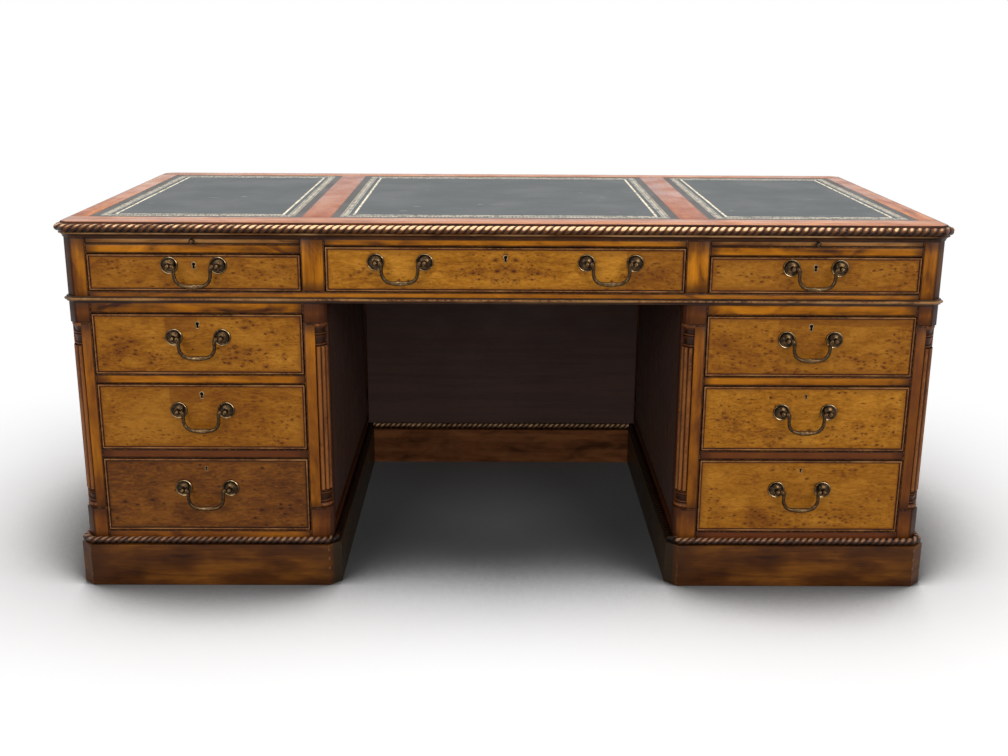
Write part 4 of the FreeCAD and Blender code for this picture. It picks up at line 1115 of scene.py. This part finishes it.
# Where the pips crowd on each front, in percent of it: place across and up, reach across and up,
# and strength.
RIGHT_PIPS = (
    (8, 60, 7, 14, 90), (24, 85, 5, 7, 70), (28, 66, 8, 10, 60), (16, 32, 13, 20, 80), (34, 22, 10, 9, 130),
    (38, 6, 10, 6, 90), (52, 30, 6, 8, 40), (75, 24, 16, 16, 75), (93, 55, 6, 35, 70), (40, 86, 3, 5, 70),
)
PIPS = {
    "frieze_left": (
        (12, 60, 10, 25, 80), (25, 70, 8, 10, 50), (64, 20, 5, 14, 110), (76, 45, 10, 20, 80),
        (92, 55, 8, 30, 70), (30, 12, 10, 8, 40),
    ),
    "frieze_centre": (
        (50, 42, 5.5, 34, 110), (40, 42, 7, 12, 70), (60, 42, 7, 12, 70), (42.5, 76, 2, 8, 60),
        (57.5, 76, 2, 8, 60), (50, 92, 2, 10, 90), (12, 42, 6, 20, 70), (30, 20, 8, 10, 40),
        (93, 35, 6, 36, 110), (84, 30, 4, 20, 70),
    ),
    "frieze_right": (
        (10, 65, 7, 20, 70), (24, 52, 4, 8, 120), (30, 42, 8, 12, 80), (20, 25, 5, 8, 60),
        (36, 22, 5, 12, 110), (68, 40, 6, 20, 60), (82, 66, 7, 14, 70), (95, 60, 4, 30, 90),
    ),
    "left_upper": (
        (10, 45, 8, 20, 70), (25, 26, 14, 13, 80), (75, 84, 7, 6, 80), (92, 66, 7, 16, 80),
        (75, 42, 14, 12, 80), (69, 26, 8, 8, 130), (80, 18, 14, 12, 80), (4, 15, 4, 14, 80),
        (40, 55, 5, 4, 40),
    ),
    "left_middle": (
        (4, 66, 2, 10, 70), (7, 28, 6, 14, 80), (26, 22, 13, 9, 90), (76, 80, 5, 6, 60), (93, 62, 6, 16, 80),
        (78, 40, 12, 10, 80), (67, 24, 8, 7, 130), (85, 15, 10, 10, 70), (60, 55, 5, 4, 40),
    ),
    "left_lower": ((85, 25, 12, 15, 70), (10, 20, 8, 12, 50), (60, 70, 10, 10, 30)),
    "right_upper": RIGHT_PIPS,
    "right_middle": RIGHT_PIPS,
    "right_lower": (
        (7, 45, 5, 12, 90), (10, 18, 7, 14, 80), (30, 20, 10, 10, 120), (36, 8, 8, 7, 90), (25, 52, 3, 3, 90),
        (72, 16, 20, 12, 75), (93, 35, 5, 25, 70), (40, 93, 4, 4, 70), (73, 90, 4, 4, 80), (22, 68, 3, 4, 60),
    ),
}
# Darker let-in veneer, as shares of the front: from, to, and above what height.
MENDS = {
    "left_upper": (0.34, 0.5, 0.72), "left_middle": (0.34, 0.5, 0.74), "right_upper": (0.34, 0.985, 0.88),
    "frieze_centre": (0.84, 1, 0),
}
NO_MEND = (1, 1, 1)
# How much darker each front's veneer is, 0 to 1.
LEAF_TONES = {
    "frieze_left": 0.5, "frieze_right": 0.55, "left_upper": 0.4, "left_middle": 0.65, "right_upper": 0.5,
    "right_middle": 0.1, "right_lower": 0.35,
}


def crowding(key, across, up):
    """How thick the pips stand at a place of a front, given in percent of it."""
    return min(MOST_CROWDED, sum(
        strength / 100 * math.exp(-((across - x) / reach_x) ** 2 - ((up - z) / reach_z) ** 2)
        for x, z, reach_x, reach_z, strength in PIPS[key]
    ))


def veneered(shape, key, x, z):
    """A drawer front whose face is a grid that carries the crowding of the pips."""
    wide, high = x[1] - x[0], z[1] - z[0]
    mesh = bmesh.new()
    columns = 2 * round(wide / VENEER_GRID / 2)
    bmesh.ops.create_grid(mesh, x_segments=columns, y_segments=round(high / VENEER_GRID), size=0.5)
    for vertex in mesh.verts:
        vertex.co = (x[0] + wide * (vertex.co.x + 0.5), CASE_FRONT, z[0] + high * (vertex.co.y + 0.5))
    walls = bmesh.ops.extrude_edge_only(mesh, edges=[edge for edge in mesh.edges if edge.is_boundary])["geom"]
    bmesh.ops.translate(mesh, verts=vertices(walls), vec=(0, RAIL, 0))
    rim = [item for item in walls if isinstance(item, bmesh.types.BMEdge) and item.is_boundary]
    bmesh.ops.holes_fill(mesh, edges=rim)
    bmesh.ops.recalc_face_normals(mesh, faces=mesh.faces)
    points, faces = emptied(mesh)
    crowd = [crowding(key, 100 * (px - x[0]) / wide, 100 * (pz - z[0]) / high) for px, _, pz in points]
    start, end, height = MENDS.get(key, NO_MEND)
    mend = ((start - 0.5) * wide, (end - 0.5) * wide, (height - 0.5) * high)
    values = grain_values(points, "x", LEAF_TONES.get(key, 0.0))
    if key == "frieze_centre":
        values["grain"] = [(abs(across), depth, up) for across, depth, up in values["local"]]
    shape.add(points, faces, crowd=crowd, mend=mend, **values)


def drawer_front(name):
    """A burr face inside a proud, mitred cock bead."""
    key = name.removeprefix("drawer_")
    hole = OPENINGS[name]
    half_x, half_z = hole.half_x - BEAD - FACE_GAP, hole.half_z - BEAD - FACE_GAP
    face = Shape()
    veneered(face, key, (hole.x - half_x, hole.x + half_x), (hole.z - half_z, hole.z + half_z))
    veneer, slot = (DARK_BURR, "dark_burr") if key == "left_lower" else (BURR, "burr_veneer")
    face.build(f"{name}_face", name, slot, veneer, [f"{name}_front"])
    radius = BEAD / 2
    nose = arc((-radius, CASE_FRONT - BEAD_PROUD + radius), radius, 0, -180, 6)
    profile = [(0, CASE_FRONT + RAIL), *nose, (-BEAD, CASE_FRONT + RAIL)]

    def stand(px, py, depth):
        return (hole.x + px, depth, hole.z + py)

    bead = Shape()
    # Painted shade on the bead's shoulders, beside the gaps, and a painted highlight on its nose.
    crest = [0.7, 0.2, 0.6, 0.9, 1, 0.9, 0.6, 0.2, 0]
    swept(bead, profile, lambda out: rectangle(hole.half_x, hole.half_z, out), axis=stand, crest=crest)
    bead.build(f"{name}_bead", name, "burr_veneer", BEAD_WOOD)


HANDLE_HALF = 50 * MM
PIN_TOP = 2.5 * MM
PIVOT_Y = sum(corner.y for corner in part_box("bail_left_upper")) / 2
# Turned brass: radius and height in millimetres, and how bright it is, from rubbing and painted highlight.
ROSETTE = (
    (18, 0, 0.1), (18, 2.4, 0.4), (17.5, 3.4, 0.8), (16.7, 3.8, 0.9), (15.8, 3.5, 0.5), (14.8, 2.8, 0.2),
    (13, 2.3, 0.18), (11, 2.4, 0.2), (9, 2.9, 0.28), (7.4, 3.6, 0.34), (6.2, 4.3, 0.4), (0, 4.8, 0.4),
)
HANDLE_POST = (
    (5.6, 4.4, 0.3), (5.9, 5.2, 0.4), (4.6, 6.4, 0.2), (3.4, 8, 0.1), (3.1, 11, 0.1), (3.6, 14, 0.15),
    (4.8, 15.6, 0.2),
)
EYE = 5.8
EYE_BALL = [(px, (CASE_FRONT - PIVOT_Y) / MM + py, 0.42) for px, py in arc((0, 0), EYE, -75, 90, 11)]
NUT = ((0, 0, 0), (6, 0, 0), (6, -3, 0), (5, -4, 0), (0, -4, 0))
KNOB = (
    (5.5, 0, 0), (5.5, 0.8, 0.2), (4.6, 1.5, 0.1), (2.6, 2.2, 0), (2.3, 4.2, 0), (3.4, 5.6, 0),
    (5.1, 7.2, 0.15), (5.5, 9.2, 0.2), (4.8, 11.4, 0.25), (2.8, 12.9, 0.3), (0, 13.5, 0.3),
)


def turned_brass(shape, profile, segments, x, z, out=0.0):
    """Add a turning of (radius, height, rub) whose axis points out of the desk's front."""
    def place(px, py, height):
        return (x + px, CASE_FRONT - out - height, z + py)

    outline = [(radius * MM, height * MM) for radius, height, _ in profile]
    lathe(shape, outline, segments, place, rub=[rub for _, _, rub in profile])


def handles(name):
    """Bails that hang on a drawer, as (node, centre x, pivot z)."""
    nodes = [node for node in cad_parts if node.startswith("bail_" + name.removeprefix("drawer_"))]
    boxes = [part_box(node) for node in nodes]
    return [(node, (low.x + high.x) / 2, high.z - PIN_TOP) for node, (low, high) in zip(nodes, boxes)]


LOCK_WIDTH = 55 * MM
LOCK_HEIGHT = 32 * MM
LOCK_DEPTH = 10 * MM
# A keyhole's size: below the opening's top, its head, its skirt, and its brass lining.
KEYHOLE_DROP = 23.5 * MM
KEY_RADIUS = 5.3 * MM
KEY_SKIRT = 3.9 * MM
KEY_DROP = 9 * MM
KEY_RISE = 1.5 * MM
KEY_FOOT = 1.4 * MM
KEY_INNER = 0.7
KEY_PROUD = 1 * MM
HOLE_PROUD = 0.15 * MM
SMALL_KEYHOLE = 0.66
WITH_SMALL_KEYHOLE = ("drawer_left_lower", "drawer_right_middle", "drawer_right_lower")


def keyhole_outline(x, z, share, size):
    """A round head over a tapered skirt, as points (x, z) going round it."""
    head = arc((0, KEY_RISE), share * size * KEY_RADIUS, -60, 240, 15)
    foot = size * (KEY_FOOT * (1 - share) / (1 - KEY_INNER) - KEY_DROP)
    skirt = share * size * KEY_SKIRT
    return [(x + px, z + pz) for px, pz in [*head, (-skirt, foot), (skirt, foot)]]


def keyhole_lining(shape, outer, inner):
    """A thin brass ring between two outlines, let into the front."""
    front = CASE_FRONT - KEY_PROUD
    points = []
    for (ox, oz), (ix, iz) in zip(outer, inner):
        points += [
            (ox, CASE_FRONT, oz), (ox, front + 0.3 * MM, oz),
            (0.8 * ox + 0.2 * ix, front, 0.8 * oz + 0.2 * iz),
            (ix, front + 0.2 * MM, iz), (ix, CASE_FRONT, iz),
        ]
    shape.add(points, grid_faces(len(outer), 5, True), rub=0.6)


def fittings(name):
    """Rosettes with their posts and nuts, the keyhole's brass lining and the lock behind it."""
    shape = Shape()
    hole = OPENINGS[name]
    for _, centre, pivot_z in handles(name):
        for x in (centre - HANDLE_HALF, centre + HANDLE_HALF):
            turned_brass(shape, ROSETTE, 40, x, pivot_z)
            turned_brass(shape, HANDLE_POST, 20, x, pivot_z)
            turned_brass(shape, EYE_BALL, 20, x, pivot_z)
            turned_brass(shape, NUT, 6, x, pivot_z, out=-RAIL)
    key_z = hole.high - KEYHOLE_DROP
    size = SMALL_KEYHOLE if name in WITH_SMALL_KEYHOLE else 1.0
    inner = keyhole_outline(hole.x, key_z, KEY_INNER, size)
    keyhole_lining(shape, keyhole_outline(hole.x, key_z, 1.0, size), inner)
    back = CASE_FRONT + RAIL
    board(shape, (hole.x - LOCK_WIDTH / 2, hole.x + LOCK_WIDTH / 2), (back, back + LOCK_DEPTH),
          (key_z - LOCK_HEIGHT / 2, key_z + LOCK_HEIGHT / 2), bevel=1 * MM)
    shape.build(f"{name}_brasses", name, "brass", BRASS, [f"{name}_fittings"])
    # A dark sheet over the keyhole's inner outline: painted shade inside the hole.
    dark = Shape()
    dark.add([(x, CASE_FRONT - HOLE_PROUD, z) for x, z in inner], [range(len(inner))])
    dark.build(f"{name}_keyhole", name, "brass", HOLE)


# Half a bail: across and up from its pins, thickness (radius) and rub with painted highlight, all but the
# last in millimetres.
BAIL_KNOTS = (
    (51, 0, 2.2, 0.1), (45.5, 0, 2.6, 0.12), (42.6, 0.3, 4.5, 0.24), (39.6, -0.8, 5.1, 0.26),
    (37.4, -5, 4.4, 0.18), (37.2, -11, 3.8, 0.16), (37, -18, 3.7, 0.16), (35.6, -25.5, 3.7, 0.16),
    (31.8, -32.6, 3.8, 0.18), (25.6, -37.6, 3.8, 0.22), (18, -40, 4, 0.28), (9.5, -40.8, 4.7, 0.36),
    (0, -41, 5.2, 0.4),
)
BAIL_SIDES = 14
BAIL_STEPS = 5


def bails():
    """Swan-neck drop handles: knuckles at the pins, slim legs and a swelling grip."""
    half = [Vector(knot) for knot in BAIL_KNOTS]
    line = smooth_line([Vector((-k.x, k.y, k.z, k.w)) for k in half] + half[-2::-1], BAIL_STEPS)
    for node, centre, pivot_z in (handle for name in DRAWERS for handle in handles(name)):
        path = [Vector((centre + k.x * MM, PIVOT_Y, pivot_z + k.y * MM)) for k in line]
        shape = Shape()
        tube(shape, path, [k.z * MM for k in line], BAIL_SIDES, [k.w for k in line])
        shape.build(f"{node}_swan_neck", node, "brass", BRASS, [node], smooth=60)


def slides():
    """Writing slides with eased front edges, and their turned knobs."""
    for name, side in SIDES.items():
        node = f"{name}_writing_slide"
        low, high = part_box(node)
        shape = Shape()
        board(shape, *zip(low, high), tone=0.05, bevel=2.2 * MM)
        shape.build(f"{name}_slide_board", f"{name}_slide", "golden_mahogany", SLIDE_WOOD, [node])
        knob = Shape()
        turned_brass(knob, KNOB, 24, side * (BAY_IN + BAY_OUT) / 2, (low.z + high.z) / 2)
        knob.build(f"{name}_knob_turned", f"{name}_slide", "brass", BRASS, [f"{name}_slide_knob"])


# Stage ---------------------------------------------------------------------------------------

CAMERA_PLACE = Vector((-27.5, -2942.5, 1181.1)) * MM
CAMERA_YAW = 0.5902
CAMERA_PITCH = -15.8458
CAMERA_ROLL = 0.3826
FOCAL_PIXELS = 1240.18
IMAGE_WIDTH = 1008
SENSOR_WIDTH = 36


def camera():
    yaw, pitch, roll = (math.radians(angle) for angle in (CAMERA_YAW, CAMERA_PITCH, CAMERA_ROLL))
    forward = Vector((math.sin(yaw) * math.cos(pitch), math.cos(yaw) * math.cos(pitch), math.sin(pitch)))
    level = Vector((math.cos(yaw), -math.sin(yaw), 0))
    upright = level.cross(forward)
    right = level * math.cos(roll) + upright * math.sin(roll)
    up = upright * math.cos(roll) - level * math.sin(roll)
    lens = bpy.data.cameras.new("camera")
    lens.sensor_width = SENSOR_WIDTH
    lens.lens = FOCAL_PIXELS * SENSOR_WIDTH / IMAGE_WIDTH
    eye = placed("camera", lens)
    eye.matrix_world = Matrix.Translation(CAMERA_PLACE) @ Matrix((right, up, -forward)).transposed().to_4x4()
    bpy.context.scene.camera = eye


def looking(paint):
    """1 for a ray that shows the stage itself: seen, mirrored or through glass."""
    rays = paint.add("LightPath").socket.node.outputs
    kinds = ("Camera", "Glossy", "Transmission")
    seen, mirrored, through = (Field(paint, rays[f"Is {kind} Ray"]) for kind in kinds)
    return seen.maximum(mirrored).maximum(through)


FLOOR_REACH = 60
FLOOR_NEAR = 0.05
FLOOR_FAR = 0.9
CORNER_REACH = 0.75
DULL_FLOOR = (0.35, 0.35, 0.35, 1)
# How dark the floor is where the desk closes it in: open share and linear grey.
FLOOR_SHADOW = (
    (0, 0.3), (0.25, 0.17), (0.4, 0.1), (0.54, 0.13), (0.64, 0.33), (0.76, 0.81), (1, 0.95),
)


def floor():
    """A pale floor that runs out to white, and that gives little light back to the desk."""
    mesh = bpy.data.meshes.new("floor")
    mesh.from_pydata([(x, y, 0) for x, y in rectangle(FLOOR_REACH, FLOOR_REACH)], [], [(0, 1, 2, 3)])
    paint = Paint("pale_floor")
    open_share = paint.add("AmbientOcclusion", {"Distance": CORNER_REACH}, "AO", samples=24)
    shadow = open_share.ramp(*((share, (grey, grey, grey, 1)) for share, grey in FLOOR_SHADOW))
    outside = (abs(paint.place()) - (CASE_X, CASE_Y, 0)).maximum((0, 0, 0))
    far = outside.length().step(FLOOR_NEAR, FLOOR_FAR)
    seen = paint.add("MixShader", [far, paint.add("BsdfDiffuse", [shadow]), paint.add("Emission")])
    whole = paint.add("MixShader", [looking(paint), paint.add("BsdfDiffuse", [DULL_FLOOR]), seen])
    paint.add("OutputMaterial", [whole])
    mesh.materials.append(paint.owner)
    placed("floor", mesh)


AMBIENT = 0.44
LAMPS = (
    # Name, place, target, width, height, power.
    ("overhead", (0.1, -0.2, 3.2), (0, 0, 0.4), 3.6, 2.6, 75),
    ("front_left", (-2.4, -3.8, 1.9), (0, 0, 0.4), 2.4, 1.6, 55),
    ("front_right", (2.6, -3.6, 1.9), (0, 0, 0.4), 2.4, 1.6, 62),
)


def lights():
    for name, place, target, width, height, power in LAMPS:
        lamp = bpy.data.lights.new(name, "AREA")
        lamp.shape = "RECTANGLE"
        lamp.size, lamp.size_y, lamp.energy = width, height, power
        holder = placed(name, lamp)
        holder.location = place
        holder.rotation_euler = (Vector(target) - Vector(place)).to_track_quat("-Z", "Y").to_euler()
    world = Paint("studio", "worlds")
    level = world.add("MapRange", {"Value": looking(world), "To Min": AMBIENT, "To Max": 1.0})
    world.add("OutputWorld", [world.add("Background", {"Color": (1, 1, 1, 1), "Strength": level})])
    bpy.context.scene.world = world.owner


# The whole desk ------------------------------------------------------------------------------

bpy.context.scene.view_settings.view_transform = "Standard"
camera()
floor()
lights()
top_frame()
leather_panels()
rope_mouldings()
cove_and_waist()
frieze_boards()
for side_name, side_sign in SIDES.items():
    case_boards(side_name, side_sign)
columns()
plinths()
inner_boards()
for drawer in DRAWERS:
    drawer_front(drawer)
    fittings(drawer)
bails()
slides()
